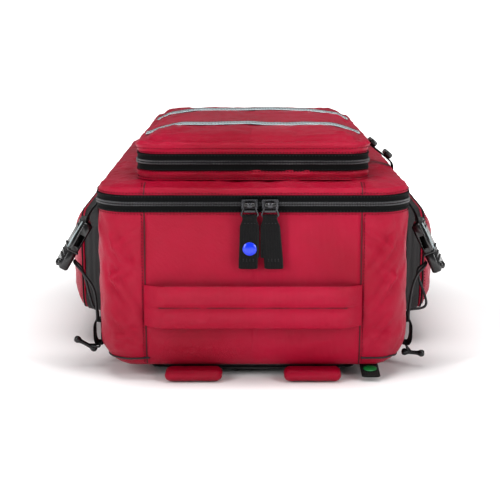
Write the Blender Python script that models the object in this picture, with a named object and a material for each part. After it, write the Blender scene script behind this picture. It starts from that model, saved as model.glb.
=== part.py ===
"""Trauma backpack lying on its harness: an open tub, a clamshell lid, a front pocket and what hangs on them.

X runs across the pack, Y from the grab-handle end (-Y) to the far end, and Z up from the surface it lies on.
"""

import math

import bmesh
import bpy
from mathutils import Matrix, Vector

# ---- Driving dimensions, in metres and degrees ----
GAP = 0.0003  # clearance between pieces that touch

# Tub
BODY_HALF_WIDTH = 0.1875
BODY_NEAR = -0.262
BODY_FAR = 0.262
BODY_CORNER_RADIUS = 0.045
BODY_BOTTOM = 0.016
BODY_CROWN = 0.005
CROWN_STOP = 0.003  # how far under the zipper tape the bulge of the end panels stops
BOTTOM_EDGE_SIDE = 0.035
BOTTOM_EDGE_END = 0.015
BODY_WALL = 0.004
ZIP_HEIGHT = 0.2175
CORNER_STEPS = 5

# Zipper tapes
TAPE_WIDTH = 0.0099
TAPE_THICKNESS = 0.0015
TAPE_END_MARGIN = 0.050

# Lid
LID_TOP = ZIP_HEIGHT + 0.0225
LID_SHOULDER = 0.022
LID_WALL = 0.003

# Front pocket, on the lid
POCKET_HALF_WIDTH = 0.140
POCKET_SETBACK = 0.0375
POCKET_FAR = 0.150
POCKET_CORNER_RADIUS = 0.030
POCKET_WALL = 0.0025
POCKET_BODY_HEIGHT = 0.0208
POCKET_FOLD_HEIGHT = 0.020
POCKET_CROWN_HEIGHT = 0.018
STRIP_WIDTH = 0.024
STRIP_THICKNESS = 0.001
STRIP_LIFT = 0.0008

# Grab handle
HANDLE_HALF_LENGTH = 0.130
HANDLE_END_LENGTH = 0.016
HANDLE_LOW = 0.070
HANDLE_HIGH = 0.1215
HANDLE_THICKNESS = 0.012
HANDLE_FINGER_GAP = 0.0065

# Main zipper sliders and pulls
SLIDER_LENGTH = 0.020
SLIDER_HEIGHT = 0.012
SLIDER_PLATE = 0.0035
BRIDGE_WIDTH = 0.008
BRIDGE_DEPTH = 0.0070
BRIDGE_HOLE_DEPTH = 0.0036
BRIDGE_HOLE_HEIGHT = 0.0045
LEFT_SLIDER_X = -0.004
BAIL_BAR = 0.002
BAIL_TOP_WIDTH = 0.014
BAIL_BOTTOM_WIDTH = 0.0234
BAIL_LENGTH = 0.016
TAB_WIDTH = 0.0225
TAB_LENGTH = 0.060
TAB_THICKNESS = 0.003
SNAP_RADIUS = 0.0084
SNAP_THICKNESS = 0.0025
SNAP_ABOVE_TAB_END = 0.023
RIGHT_SLIDER_X = LEFT_SLIDER_X + max(BAIL_BOTTOM_WIDTH, TAB_WIDTH) + 2 * GAP  # the two meet when closed

# Side buckles, their webbing and cords
STRAP_Y = -0.200
WEBBING_WIDTH = 0.025
WEBBING_THICKNESS = 0.0024
BUCKLE_TOP = ZIP_HEIGHT - 0.0125
BUCKLE_TILT = {-1: 31.0, 1: 26.0}
BUCKLE_TWIST = 15.0
BUCKLE_WEBBING_LENGTH = 0.022
SOCKET_LENGTH = 0.040
PLUG_BASE_LENGTH = 0.026
BUCKLE_WIDTH = 0.034
BUCKLE_THICKNESS = 0.012
BUCKLE_WALL = 0.0025
PRONG_LENGTH = 0.030
PRONG_WIDTH = 0.0075
TONGUE_WIDTH = 0.006
WINDOW_LENGTH = 0.016
CORD_DIAMETER = 0.0032
SLEEVE_LOW = 0.030
SLEEVE_HIGH = 0.060
SLEEVE_THICKNESS = 0.0100
TOGGLE_RADIUS = 0.0045
TOGGLE_WAIST = 0.62  # share of the radius

# Side pockets
SIDE_POCKET_NEAR = -0.110
SIDE_POCKET_FAR = 0.160
SIDE_POCKET_LOW = 0.040
SIDE_POCKET_HIGH = 0.185
SIDE_POCKET_GUSSET = 0.034
SIDE_POCKET_DOME = 0.021
SIDE_POCKET_WALL = 0.003
SIDE_POCKET_RADIUS = 0.035
SIDE_POCKET_LEAST_RADIUS = 0.010

# Back panel and harness, between the tub and the surface
PANEL_HALF_WIDTH = 0.128
PANEL_NEAR = -0.240
PANEL_FAR = 0.240
PANEL_LOW = 0.0068
PANEL_RADIUS = 0.030
PAD_WIDTH = 0.0160
LUMBAR_LENGTH = 0.070
STRAP_PAD_INNER = 0.038
STRAP_PAD_OUTER = 0.107
STRAP_PAD_FAR = 0.110
STRAP_PAD_LIFT = 0.0008
YOKE_NEAR = -0.274
YOKE_FAR = -0.2455
YOKE_TOP = 0.0155

# Rear compartment slider, on the right-hand side of the back panel
REAR_SLIDER_Y = -0.205
REAR_TAB_LENGTH = 0.052

# Compartment dividers and the stiffening sheet
DIVIDER_THICKNESS = 0.006
DIVIDER_OFFSET = 0.085
DIVIDER_TOP = 0.190
SHEET_THICKNESS = 0.002
INNER_CLEARANCE = 0.002

LEFT, RIGHT = -1, 1
SIDE_NAMES = {LEFT: "left", RIGHT: "right"}

RED = (0.47, 0.010, 0.042, 1.0)
BLACK = (0.012, 0.012, 0.013, 1.0)
GREY = (0.30, 0.29, 0.28, 1.0)
SILVER = (0.42, 0.46, 0.48, 1.0)
STEEL = (0.10, 0.10, 0.11, 1.0)
BLUE = (0.0, 0.03, 0.70, 1.0)
GREEN = (0.0, 0.23, 0.04, 1.0)


# ---- Shapes ----
def clear_scene():
    for old in list(bpy.data.objects):
        bpy.data.objects.remove(old, do_unlink=True)


def make_material(name, colour, roughness, metallic=0.0):
    made = bpy.data.materials.new(name)
    made.use_nodes = True
    shader = made.node_tree.nodes["Principled BSDF"]
    shader.inputs["Base Color"].default_value = colour
    shader.inputs["Roughness"].default_value = roughness
    shader.inputs["Metallic"].default_value = metallic
    return made


def finish(name, mesh_edit, look, origin=(0, 0, 0)):
    """Turn a bmesh into an object whose origin sits at the given point."""
    bmesh.ops.recalc_face_normals(mesh_edit, faces=mesh_edit.faces)
    bmesh.ops.translate(mesh_edit, verts=mesh_edit.verts, vec=-Vector(origin))
    mesh = bpy.data.meshes.new(name)
    mesh_edit.to_mesh(mesh)
    mesh_edit.free()
    mesh.shade_smooth()
    mesh.set_sharp_from_angle(angle=math.radians(35))
    made = bpy.data.objects.new(name, mesh)
    made.location = origin
    bpy.context.scene.collection.objects.link(made)
    made.data.materials.append(look)
    return made


def outline(half_x, near, far, radius, z):
    """One level of a rounded rectangle, anticlockwise from above, starting at the far right corner."""
    points = []
    corners = ((half_x, far, 0), (-half_x, far, 90), (-half_x, near, 180), (half_x, near, 270))
    middle = (near + far) / 2
    for x, y, start in corners:
        centre_x = x - math.copysign(radius, x)
        centre_y = y - math.copysign(radius, y - middle)
        for step in range(CORNER_STEPS + 1):
            turn = math.radians(start + 90 * step / CORNER_STEPS)
            points.append((centre_x + radius * math.cos(turn), centre_y + radius * math.sin(turn), z))
    return points


def loft_mesh(rings):
    """A closed skin through rings with the same number of points, capped at both ends."""
    edit = bmesh.new()
    rows = [[edit.verts.new(point) for point in ring] for ring in rings]
    count = len(rings[0])
    for lower, upper in zip(rows, rows[1:]):
        for i in range(count):
            after = (i + 1) % count
            edit.faces.new((lower[i], lower[after], upper[after], upper[i]))
    edit.faces.new(rows[0])
    edit.faces.new(rows[-1])
    return edit


def loft(name, rings, look, origin=(0, 0, 0)):
    return finish(name, loft_mesh(rings), look, origin)


def block_mesh(low, high, bevel=0.0, segments=2):
    edit = bmesh.new()
    size = [h - l for l, h in zip(low, high)]
    middle = [(h + l) / 2 for l, h in zip(low, high)]
    bmesh.ops.create_cube(edit, size=1)
    bmesh.ops.scale(edit, verts=edit.verts, vec=size)
    bmesh.ops.translate(edit, verts=edit.verts, vec=middle)
    if bevel:
        bmesh.ops.bevel(
            edit, geom=list(edit.edges), offset=bevel, segments=segments, profile=0.5, affect="EDGES"
        )
    return edit


def block(name, low, high, bevel, look, origin=(0, 0, 0), segments=2):
    return finish(name, block_mesh(low, high, bevel, segments), look, origin)


def sided(side, inner, outer):
    """The lower and upper X of a piece that spans inner to outer, measured outwards on one side."""
    return min(side * inner, side * outer), max(side * inner, side * outer)


def helper_block(name, low, high):
    """A hidden box that a Boolean joins on or takes away."""
    made = finish(name, block_mesh(low, high), make_material(name, GREY, 0.5))
    made.hide_render = True
    made.display_type = "WIRE"
    return made


def combine(target, other, operation):
    step = target.modifiers.new(operation.lower() + "_" + other.name, "BOOLEAN")
    step.operation = operation
    step.solver = "EXACT"
    step.object = other


def zipper_path(half_x, near, radius, out, end_y):
    """A U from the far left, round the near end and back, a distance out from the outline."""
    path = [(-half_x - out, end_y)]
    for x, start in ((-half_x, 180), (half_x, 270)):
        centre_x = x - math.copysign(radius, x)
        for step in range(CORNER_STEPS + 1):
            turn = math.radians(start + 90 * step / CORNER_STEPS)
            reach = radius + out
            path.append((centre_x + reach * math.cos(turn), near + radius + reach * math.sin(turn)))
    path.append((half_x + out, end_y))
    return path


def zipper_tape(name, half_x, near, radius, end_y, low, high, look):
    inner = zipper_path(half_x, near, radius, GAP, end_y)
    outer = zipper_path(half_x, near, radius, GAP + TAPE_THICKNESS, end_y)
    stations = []
    for (ix, iy), (ox, oy) in zip(inner, outer):
        stations.append([(ix, iy, low), (ox, oy, low), (ox, oy, high), (ix, iy, high)])
    return loft(name, stations, look)


def smooth_route(points, spacing):
    """Points a fixed distance apart on a smooth curve through the route's own points."""
    padded = [2 * points[0] - points[1], *points, 2 * points[-1] - points[-2]]
    fine = []
    for before, start, end, after in zip(padded, padded[1:], padded[2:], padded[3:]):
        for step in range(40):
            t = step / 40
            bend = 2 * before - 5 * start + 4 * end - after
            twist = 3 * start - before - 3 * end + after
            fine.append(0.5 * (2 * start + (end - before) * t + bend * t * t + twist * t ** 3))
    fine.append(points[-1])
    even = [fine[0]]
    for point in fine:
        if (point - even[-1]).length >= spacing:
            even.append(point)
    even[-1] = fine[-1]
    return even


def cord(name, route, diameter, look):
    line = bpy.data.curves.new(name, "CURVE")
    line.dimensions = "3D"
    line.bevel_depth = diameter / 2
    line.bevel_resolution = 2
    line.use_fill_caps = True
    points = smooth_route([Vector(p) for p in route], 2 * diameter)
    spline = line.splines.new("POLY")
    spline.points.add(len(points) - 1)
    for target, point in zip(spline.points, points):
        target.co = (*point, 1.0)
    made = bpy.data.objects.new(name, line)
    bpy.context.scene.collection.objects.link(made)
    made.data.materials.append(look)
    return made


def move(edit, matrix):
    bmesh.ops.transform(edit, matrix=matrix, verts=edit.verts)
    return edit


# ---- Tub ----
def body_levels():
    """Height, and how far the outline is drawn in across and along, from the floor of the tub to its rim."""
    levels = []
    for step in range(4):
        turn = math.radians(90 * step / 3)
        height = BOTTOM_EDGE_SIDE * (1 - math.cos(turn))
        short = 1 - math.sin(turn)
        levels.append((height, BOTTOM_EDGE_SIDE * short, BOTTOM_EDGE_END * short))
    for share in (0.35, 0.55, 0.75, 0.90, 1.0):
        levels.append((crown_height() * share, 0.0, 0.0))
    levels.append((ZIP_HEIGHT - GAP - BODY_BOTTOM, 0.0, 0.0))
    return levels


def crown_height():
    """The end panels bulge from the floor up to just under the zipper tape."""
    return ZIP_HEIGHT - TAPE_WIDTH - CROWN_STOP - BODY_BOTTOM


def crown(height):
    return BODY_CROWN * math.sin(math.pi * min(max(height / crown_height(), 0), 1))


def body_ring(height, draw_x, draw_y, wall):
    out = crown(height) - draw_y - wall
    return outline(
        BODY_HALF_WIDTH - draw_x - wall,
        BODY_NEAR - out,
        BODY_FAR + out,
        BODY_CORNER_RADIUS - wall,
        BODY_BOTTOM + height,
    )


def tub_shell(look):
    levels = body_levels()
    rings = [body_ring(*level, 0.0) for level in levels]
    inside = [body_ring(*level, BODY_WALL) for level in reversed(levels[1:])]
    floor = body_ring(BODY_WALL, levels[0][1], levels[0][2], BODY_WALL)
    return loft("tub_shell", rings + inside + [floor], look)


def frame_sheet(look):
    low = BODY_BOTTOM + BODY_WALL + GAP
    half = BODY_HALF_WIDTH - BOTTOM_EDGE_SIDE - BODY_WALL - INNER_CLEARANCE
    end = BODY_FAR - BOTTOM_EDGE_END - BODY_WALL - INNER_CLEARANCE
    radius = BODY_CORNER_RADIUS / 2
    rings = [outline(half, -end, end, radius, low), outline(half, -end, end, radius, low + SHEET_THICKNESS)]
    return loft("frame_sheet", rings, look)


def divider(name, middle_y, look):
    half = BODY_HALF_WIDTH - BODY_WALL - INNER_CLEARANCE
    low = BODY_BOTTOM + BODY_WALL + SHEET_THICKNESS + 2 * GAP
    foot = half - BOTTOM_EDGE_SIDE
    heights = (low, low + BOTTOM_EDGE_SIDE * 0.3, low + BOTTOM_EDGE_SIDE, DIVIDER_TOP)
    halves = (foot, half - BOTTOM_EDGE_SIDE * 0.25, half, half)
    near, far = middle_y - DIVIDER_THICKNESS / 2, middle_y + DIVIDER_THICKNESS / 2
    rings = [[(-w, near, z), (w, near, z), (w, far, z), (-w, far, z)] for z, w in zip(heights, halves)]
    return loft(name, rings, look)


# ---- Lid and front pocket ----
def lid_shell(look):
    rim = ZIP_HEIGHT + GAP

    def ring(draw, z, wall):
        return outline(
            BODY_HALF_WIDTH - draw - wall, BODY_NEAR + draw + wall, BODY_FAR - draw - wall,
            BODY_CORNER_RADIUS - min(wall + draw, 0.020), z,
        )

    bend = rim + (LID_TOP - rim) * 0.55
    near_top = LID_TOP - (LID_TOP - rim) * 0.12
    outer = [(LID_SHOULDER, LID_TOP), (LID_SHOULDER * 0.35, near_top), (0.0, bend), (0.0, rim)]
    inner = [(0.0, rim), (0.0, bend - LID_WALL / 2), (LID_SHOULDER, LID_TOP - LID_WALL)]
    rings = [ring(draw, z, 0.0) for draw, z in outer] + [ring(draw, z, LID_WALL) for draw, z in inner]
    return loft("lid_shell", rings, look)


POCKET_NEAR = BODY_NEAR + POCKET_SETBACK
POCKET_LOW = LID_TOP + GAP
POCKET_RIM = POCKET_LOW + POCKET_BODY_HEIGHT
POCKET_ZIP = POCKET_RIM + GAP


def pocket_ring(grow, z, wall=0.0):
    return outline(
        POCKET_HALF_WIDTH + grow - wall, POCKET_NEAR - grow + wall, POCKET_FAR + grow - wall,
        POCKET_CORNER_RADIUS - wall, z,
    )


def pocket_body(look):
    floor = POCKET_LOW + POCKET_WALL
    rings = [pocket_ring(0.0, POCKET_LOW), pocket_ring(0.0, POCKET_RIM)]
    rings += [pocket_ring(0.0, POCKET_RIM, POCKET_WALL), pocket_ring(0.0, floor, POCKET_WALL)]
    return loft("pocket_body", rings, look)


def pocket_top_levels():
    """Height above the pocket's zipper and how far the dome is drawn in."""
    levels = [(0.0, 0.0), (POCKET_FOLD_HEIGHT * 0.6, 0.0), (POCKET_FOLD_HEIGHT, 0.004)]
    for share in (0.35, 0.65, 0.88, 1.0):
        rise = math.sin(math.pi / 2 * share)
        levels.append((POCKET_FOLD_HEIGHT + POCKET_CROWN_HEIGHT * rise, 0.004 + 0.090 * share ** 2))
    return levels


def pocket_lid(look):
    low = POCKET_ZIP + GAP
    levels = pocket_top_levels()
    radius_in = POCKET_CORNER_RADIUS - POCKET_WALL

    def ring(height, draw, wall):
        return outline(
            POCKET_HALF_WIDTH - draw - wall, POCKET_NEAR + draw + wall, POCKET_FAR - draw - wall,
            POCKET_CORNER_RADIUS if not wall else radius_in, low + height,
        )

    outer = [ring(height, draw, 0.0) for height, draw in reversed(levels)]
    inner = [ring(max(height - POCKET_WALL, 0.0), draw, POCKET_WALL) for height, draw in levels]
    return loft("pocket_lid", outer + inner, look)


def reflective_strip(name, middle_y, look):
    """A band across the dome from side to side, bent where the dome's facets meet."""
    base = POCKET_ZIP + GAP
    near, far = middle_y - STRIP_WIDTH / 2, middle_y + STRIP_WIDTH / 2
    dome = pocket_top_levels()[2:]
    half_profile = [(POCKET_HALF_WIDTH - draw, base + height + STRIP_LIFT) for height, draw in dome]
    profile = [(-x, z) for x, z in half_profile] + half_profile[::-1]
    rings = []
    for x, z in profile:
        top = z + STRIP_THICKNESS
        rings.append([(x, near, z), (x, far, z), (x, far, top), (x, near, top)])
    return loft(name, rings, look)


# ---- Handle ----
def handle_back():
    return BODY_NEAR - BODY_CROWN - HANDLE_FINGER_GAP


def handle_grip(look):
    half = HANDLE_HALF_LENGTH - HANDLE_END_LENGTH - GAP
    back = handle_back()
    middle = (HANDLE_LOW + HANDLE_HIGH) / 2
    profile = [
        (back, HANDLE_LOW + 0.004), (back - HANDLE_THICKNESS * 0.6, HANDLE_LOW),
        (back - HANDLE_THICKNESS, HANDLE_LOW + 0.008), (back - HANDLE_THICKNESS, middle - 0.006),
        (back - HANDLE_THICKNESS + 0.002, middle), (back - HANDLE_THICKNESS, middle + 0.006),
        (back - HANDLE_THICKNESS, HANDLE_HIGH - 0.008), (back - HANDLE_THICKNESS * 0.6, HANDLE_HIGH),
        (back, HANDLE_HIGH - 0.004),
    ]
    rings = [[(x, y, z) for y, z in profile] for x in (-half, half)]
    return loft("handle_grip", rings, look, (0, back, middle))


def handle_end(side, look):
    inner = HANDLE_HALF_LENGTH - HANDLE_END_LENGTH
    low_x, high_x = sided(side, inner, HANDLE_HALF_LENGTH)
    back = BODY_NEAR - BODY_CROWN - GAP
    front = handle_back() - HANDLE_THICKNESS + 0.003
    name = "handle_end_" + SIDE_NAMES[side]
    return block(name, (low_x, front, HANDLE_LOW + 0.002), (high_x, back, HANDLE_HIGH - 0.002), 0.003, look)


# ---- Sliders and pulls on the main zipper ----
ZIP_FACE = BODY_NEAR - GAP - TAPE_THICKNESS
PLATE_BACK = ZIP_FACE - GAP
BRIDGE_FRONT = PLATE_BACK - SLIDER_PLATE - BRIDGE_DEPTH
BAIL_Y = BRIDGE_FRONT + 0.0017 + BRIDGE_HOLE_DEPTH / 2


def main_slider(side, x, look):
    name = "main_slider_" + SIDE_NAMES[side]
    half = SLIDER_LENGTH / 2
    plate_front = PLATE_BACK - SLIDER_PLATE
    low, high = ZIP_HEIGHT - SLIDER_HEIGHT / 2, ZIP_HEIGHT + SLIDER_HEIGHT / 2
    corner, far_corner = (x - half, plate_front, low), (x + half, PLATE_BACK, high)
    made = block(name, corner, far_corner, 0.001, look, (x, PLATE_BACK, ZIP_HEIGHT))
    bridge_low = (x - BRIDGE_WIDTH / 2, BRIDGE_FRONT, ZIP_HEIGHT - SLIDER_HEIGHT * 0.42)
    bridge_high = (x + BRIDGE_WIDTH / 2, plate_front + SLIDER_PLATE * 0.6, ZIP_HEIGHT + SLIDER_HEIGHT * 0.42)
    bridge = helper_block("bridge_of_" + name, bridge_low, bridge_high)
    combine(made, bridge, "UNION")
    hole_low = (x - SLIDER_LENGTH, BAIL_Y - BRIDGE_HOLE_DEPTH / 2, ZIP_HEIGHT - BRIDGE_HOLE_HEIGHT / 2)
    hole_high = (x + SLIDER_LENGTH, BAIL_Y + BRIDGE_HOLE_DEPTH / 2, ZIP_HEIGHT + BRIDGE_HOLE_HEIGHT / 2)
    combine(made, helper_block("hole_of_" + name, hole_low, hole_high), "DIFFERENCE")
    return made


def pull_bail(side, x, look):
    """A trapezoid wire ring through the slider's bridge."""
    top = ZIP_HEIGHT + BAIL_BAR / 2
    bottom = top - BAIL_LENGTH
    half_top, half_bottom = BAIL_TOP_WIDTH / 2, BAIL_BOTTOM_WIDTH / 2
    outer = [(-half_top, top), (half_top, top), (half_bottom, bottom), (-half_bottom, bottom)]
    inner_top, inner_bottom = BAIL_TOP_WIDTH / 2 - BAIL_BAR, BAIL_BOTTOM_WIDTH / 2 - BAIL_BAR
    inner = [
        (-inner_top, top - BAIL_BAR), (inner_top, top - BAIL_BAR),
        (inner_bottom, bottom + BAIL_BAR), (-inner_bottom, bottom + BAIL_BAR),
    ]
    edit = bmesh.new()
    rows = []
    for corners in (outer, inner):
        for y in (BAIL_Y - BAIL_BAR / 2, BAIL_Y + BAIL_BAR / 2):
            rows.append([edit.verts.new((x + u, y, v)) for u, v in corners])
    for a, b in ((0, 1), (1, 3), (3, 2), (2, 0)):
        for i in range(4):
            after = (i + 1) % 4
            edit.faces.new((rows[a][i], rows[a][after], rows[b][after], rows[b][i]))
    return finish("pull_bail_" + SIDE_NAMES[side], edit, look, (x, BAIL_Y, ZIP_HEIGHT))


def tab_top():
    return ZIP_HEIGHT + BAIL_BAR / 2 - BAIL_LENGTH - GAP


def pull_tab(side, x, look):
    low = (x - TAB_WIDTH / 2, BAIL_Y - TAB_THICKNESS / 2, tab_top() - TAB_LENGTH)
    high = (x + TAB_WIDTH / 2, BAIL_Y + TAB_THICKNESS / 2, tab_top())
    return block("pull_tab_" + SIDE_NAMES[side], low, high, 0.001, look, (x, BAIL_Y, ZIP_HEIGHT), 1)


def snap(name, centre, axis_turn, look):
    """A domed snap cap: a low turned button."""
    rings = []
    for out, share in ((0.0, 0.9), (0.3, 1.0), (0.7, 0.88), (1.0, 0.5)):
        ring = []
        for step in range(20):
            turn = 2 * math.pi * step / 20
            reach = SNAP_RADIUS * share
            point = Vector((reach * math.cos(turn), -SNAP_THICKNESS * out, reach * math.sin(turn)))
            ring.append(centre + axis_turn @ point)
        rings.append(ring)
    return loft(name, rings, look)


# ---- Side webbing, buckles, cords and toggles ----
def buckle_frame(side, twisted):
    turn = Matrix.Rotation(math.radians(-side * BUCKLE_TILT[side]), 4, "Y")
    if twisted:
        turn = turn @ Matrix.Rotation(math.radians(-side * BUCKLE_TWIST), 4, "Z")
    x = side * (BODY_HALF_WIDTH + WEBBING_THICKNESS * 1.5 + 2 * GAP + 0.0008)
    return Matrix.Translation((x, STRAP_Y, BUCKLE_TOP)) @ turn


def buckle_piece(name, side, low, high, bevel, look, twisted=True):
    edit = move(block_mesh(low, high, bevel, 1), buckle_frame(side, twisted))
    return finish(name, edit, look)


def hidden_piece(name, side, low, high, bevel=0.0):
    made = buckle_piece(name, side, low, high, bevel, make_material(name, GREY, 0.5))
    made.hide_render = True
    made.display_type = "WIRE"
    return made


def side_webbing(side, look):
    inner = BODY_HALF_WIDTH + GAP
    low_x, high_x = sided(side, inner, inner + WEBBING_THICKNESS)
    low = (low_x, STRAP_Y - WEBBING_WIDTH / 2, SLEEVE_HIGH + GAP)
    high = (high_x, STRAP_Y + WEBBING_WIDTH / 2, ZIP_HEIGHT - TAPE_WIDTH - 2 * GAP)
    return block("side_webbing_" + SIDE_NAMES[side], low, high, 0.0, look)


def buckle_webbing(side, look):
    half, wide = WEBBING_THICKNESS / 2, WEBBING_WIDTH / 2
    low, high = (-half, -wide, GAP - BUCKLE_WEBBING_LENGTH), (half, wide, 0.0)
    return buckle_piece("buckle_webbing_" + SIDE_NAMES[side], side, low, high, 0.0, look, False)


def socket(side, look):
    """The socket half: a flat box, open at its lower end, with a window in each edge."""
    name = "buckle_socket_" + SIDE_NAMES[side]
    half_t, half_w = BUCKLE_THICKNESS / 2, BUCKLE_WIDTH / 2
    top, bottom = -BUCKLE_WEBBING_LENGTH, -BUCKLE_WEBBING_LENGTH - SOCKET_LENGTH
    made = buckle_piece(name, side, (-half_t, -half_w, bottom), (half_t, half_w, top), 0.002, look)
    inner_t, inner_w = half_t - BUCKLE_WALL, half_w - BUCKLE_WALL
    cavity_top = top - SOCKET_LENGTH + PRONG_LENGTH + 0.001
    corner, far_corner = (-inner_t, -inner_w, bottom - 0.01), (inner_t, inner_w, cavity_top)
    cavity = hidden_piece("cavity_of_" + name, side, corner, far_corner)
    combine(made, cavity, "DIFFERENCE")
    window_low = bottom + 0.008
    corner = (-inner_t, -half_w - 0.01, window_low)
    far_corner = (inner_t, half_w + 0.01, window_low + WINDOW_LENGTH)
    window = hidden_piece("windows_of_" + name, side, corner, far_corner)
    combine(made, window, "DIFFERENCE")
    return made


def plug(side, look):
    """The plug half: a base with a tongue and two prongs that reach into the socket."""
    name = "buckle_plug_" + SIDE_NAMES[side]
    half_t, half_w = BUCKLE_THICKNESS / 2, BUCKLE_WIDTH / 2
    top = -BUCKLE_WEBBING_LENGTH - SOCKET_LENGTH - GAP
    corner, far_corner = (-half_t, -half_w, top - PLUG_BASE_LENGTH), (half_t, half_w, top)
    made = buckle_piece(name, side, corner, far_corner, 0.002, look)
    inner_t, inner_w = half_t - BUCKLE_WALL - 0.0006, half_w - BUCKLE_WALL - 0.0006
    reach = top + PRONG_LENGTH - 0.001
    spans = {
        "front": (-inner_w, -inner_w + PRONG_WIDTH),
        "tongue": (-TONGUE_WIDTH / 2, TONGUE_WIDTH / 2),
        "back": (inner_w - PRONG_WIDTH, inner_w),
    }
    for label, (low_y, high_y) in spans.items():
        corner, far_corner = (-inner_t, low_y, top - 0.004), (inner_t, high_y, reach)
        prong = hidden_piece(label + "_of_" + name, side, corner, far_corner)
        combine(made, prong, "UNION")
    return made


def cord_route(side):
    """One elastic cord, up from the sleeve, round the plug's lower bar and back down."""
    frame = buckle_frame(side, False)
    inward = BUCKLE_THICKNESS / 2 + BUCKLE_WIDTH / 2 * math.sin(math.radians(BUCKLE_TWIST)) + CORD_DIAMETER
    bar = -BUCKLE_WEBBING_LENGTH - SOCKET_LENGTH - PLUG_BASE_LENGTH * 0.55
    loop = frame @ Vector((-side * inward, 0, bar))
    below = loop + Vector((-side * 0.010, 0, -0.012))
    start_x = BODY_HALF_WIDTH + GAP + WEBBING_THICKNESS + GAP + CORD_DIAMETER
    start = Vector((side * start_x, STRAP_Y, SLEEVE_HIGH + GAP + CORD_DIAMETER * 0.1))
    halfway = Vector((side * (start_x + 0.003), STRAP_Y, 0.100))
    near, far = Vector((0, -0.006, 0)), Vector((0, 0.006, 0))
    slack = 0.020 if side == RIGHT else 0.004
    bulge = Vector((side * slack, 0, -0.022))
    up = [start + near, start + near + Vector((0, 0, 0.012)), halfway + near, below + near, loop + near * 0.7]
    down = [loop + far * 0.7, below + far + Vector((side * 0.002, 0, 0)), halfway + far + bulge]
    return up + down + [start + far + Vector((side * 0.001, 0, 0.010)), start + far]


def cord_sleeve(side, look):
    inner = BODY_HALF_WIDTH + 2 * GAP
    low_x, high_x = sided(side, inner, inner + SLEEVE_THICKNESS)
    low = (low_x, STRAP_Y - WEBBING_WIDTH / 2, SLEEVE_LOW)
    high = (high_x, STRAP_Y + WEBBING_WIDTH / 2, SLEEVE_HIGH)
    return block("cord_sleeve_" + SIDE_NAMES[side], low, high, 0.002, look)


def toggle(side, look):
    """A dog-bone toggle: a waisted bar with a ball at each end."""
    if side == LEFT:
        start = Vector((-BODY_HALF_WIDTH - 0.0085, STRAP_Y, 0.0195))
        end = start + Vector((-0.0285, -0.006, 0.019))
    else:
        start = Vector((BODY_HALF_WIDTH - 0.0015, STRAP_Y, 0.0185))
        end = start + Vector((0.031, -0.008, -0.001))
    along = end - start
    turn = along.to_track_quat("Z", "Y").to_matrix()
    rings = []
    half = ((0.0, 0.5), (0.05, 0.9), (0.16, 1.0), (0.30, TOGGLE_WAIST))
    stops = half + tuple((1 - share, size) for share, size in reversed(half))
    for share, size in stops:
        reach = TOGGLE_RADIUS * size
        centre = start + along * share
        turns = [2 * math.pi * step / 10 for step in range(10)]
        rings.append([centre + turn @ Vector((reach * math.cos(t), reach * math.sin(t), 0)) for t in turns])
    return loft("toggle_" + SIDE_NAMES[side], rings, look)


# ---- Side pockets ----
def side_ring(side, out, draw, wall=0.0):
    """A rounded rectangle in the plane of the pack's side, a distance out from it."""
    half_y = (SIDE_POCKET_FAR - SIDE_POCKET_NEAR) / 2 - draw - wall
    half_z = (SIDE_POCKET_HIGH - SIDE_POCKET_LOW) / 2 - draw - wall
    middle_y = (SIDE_POCKET_FAR + SIDE_POCKET_NEAR) / 2
    middle_z = (SIDE_POCKET_HIGH + SIDE_POCKET_LOW) / 2
    radius = max(SIDE_POCKET_RADIUS - draw, SIDE_POCKET_LEAST_RADIUS) - wall
    flat = outline(half_y, -half_z, half_z, radius, 0.0)
    x = side * (BODY_HALF_WIDTH + out)
    return [(x, middle_y + u, middle_z + v) for u, v, _ in flat]


def side_pocket(side, look):
    """The pocket's back and gusset: a tray that opens outwards."""
    start = GAP
    rings = [side_ring(side, start, 0.0), side_ring(side, SIDE_POCKET_GUSSET * 0.5, 0.0)]
    rings += [side_ring(side, SIDE_POCKET_GUSSET, 0.006)]
    rings += [side_ring(side, SIDE_POCKET_GUSSET, 0.006, SIDE_POCKET_WALL)]
    rings += [side_ring(side, SIDE_POCKET_GUSSET * 0.5, 0.0, SIDE_POCKET_WALL)]
    rings += [side_ring(side, start + SIDE_POCKET_WALL, 0.0, SIDE_POCKET_WALL)]
    return loft("side_pocket_" + SIDE_NAMES[side], rings, look)


def side_flap(side, look):
    """The pocket's domed cover, hinged along its upper edge."""
    base = SIDE_POCKET_GUSSET + GAP
    dome = ((0.0, 0.006), (0.35, 0.009), (0.70, 0.022), (0.92, 0.042), (1.0, 0.060))
    thin = SIDE_POCKET_WALL
    outer = [side_ring(side, base + SIDE_POCKET_DOME * rise, draw) for rise, draw in reversed(dome)]
    inner = []
    for rise, draw in dome:
        out = max(base + SIDE_POCKET_DOME * rise - thin, base)
        inner.append(side_ring(side, out, draw, thin))
    hinge = (side * (BODY_HALF_WIDTH + base), 0, SIDE_POCKET_HIGH)
    return loft("side_flap_" + SIDE_NAMES[side], outer + inner, look, hinge)


# ---- Back panel and harness ----
def back_panel(look):
    high = BODY_BOTTOM - GAP
    rings = []
    for draw, z in ((0.003, PANEL_LOW), (0.0, PANEL_LOW + 0.003), (0.0, high)):
        rings.append(outline(PANEL_HALF_WIDTH - draw, PANEL_NEAR + draw, PANEL_FAR - draw, PANEL_RADIUS, z))
    return loft("back_panel", rings, look)


def back_pad(side, look):
    outer = PANEL_HALF_WIDTH - 0.0005
    low_x, high_x = sided(side, outer - PAD_WIDTH, outer)
    low, high = (low_x, PANEL_NEAR + PANEL_RADIUS, 0.0), (high_x, STRAP_PAD_FAR, PANEL_LOW - GAP)
    return block("back_pad_" + SIDE_NAMES[side], low, high, 0.0015, look)


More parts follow.
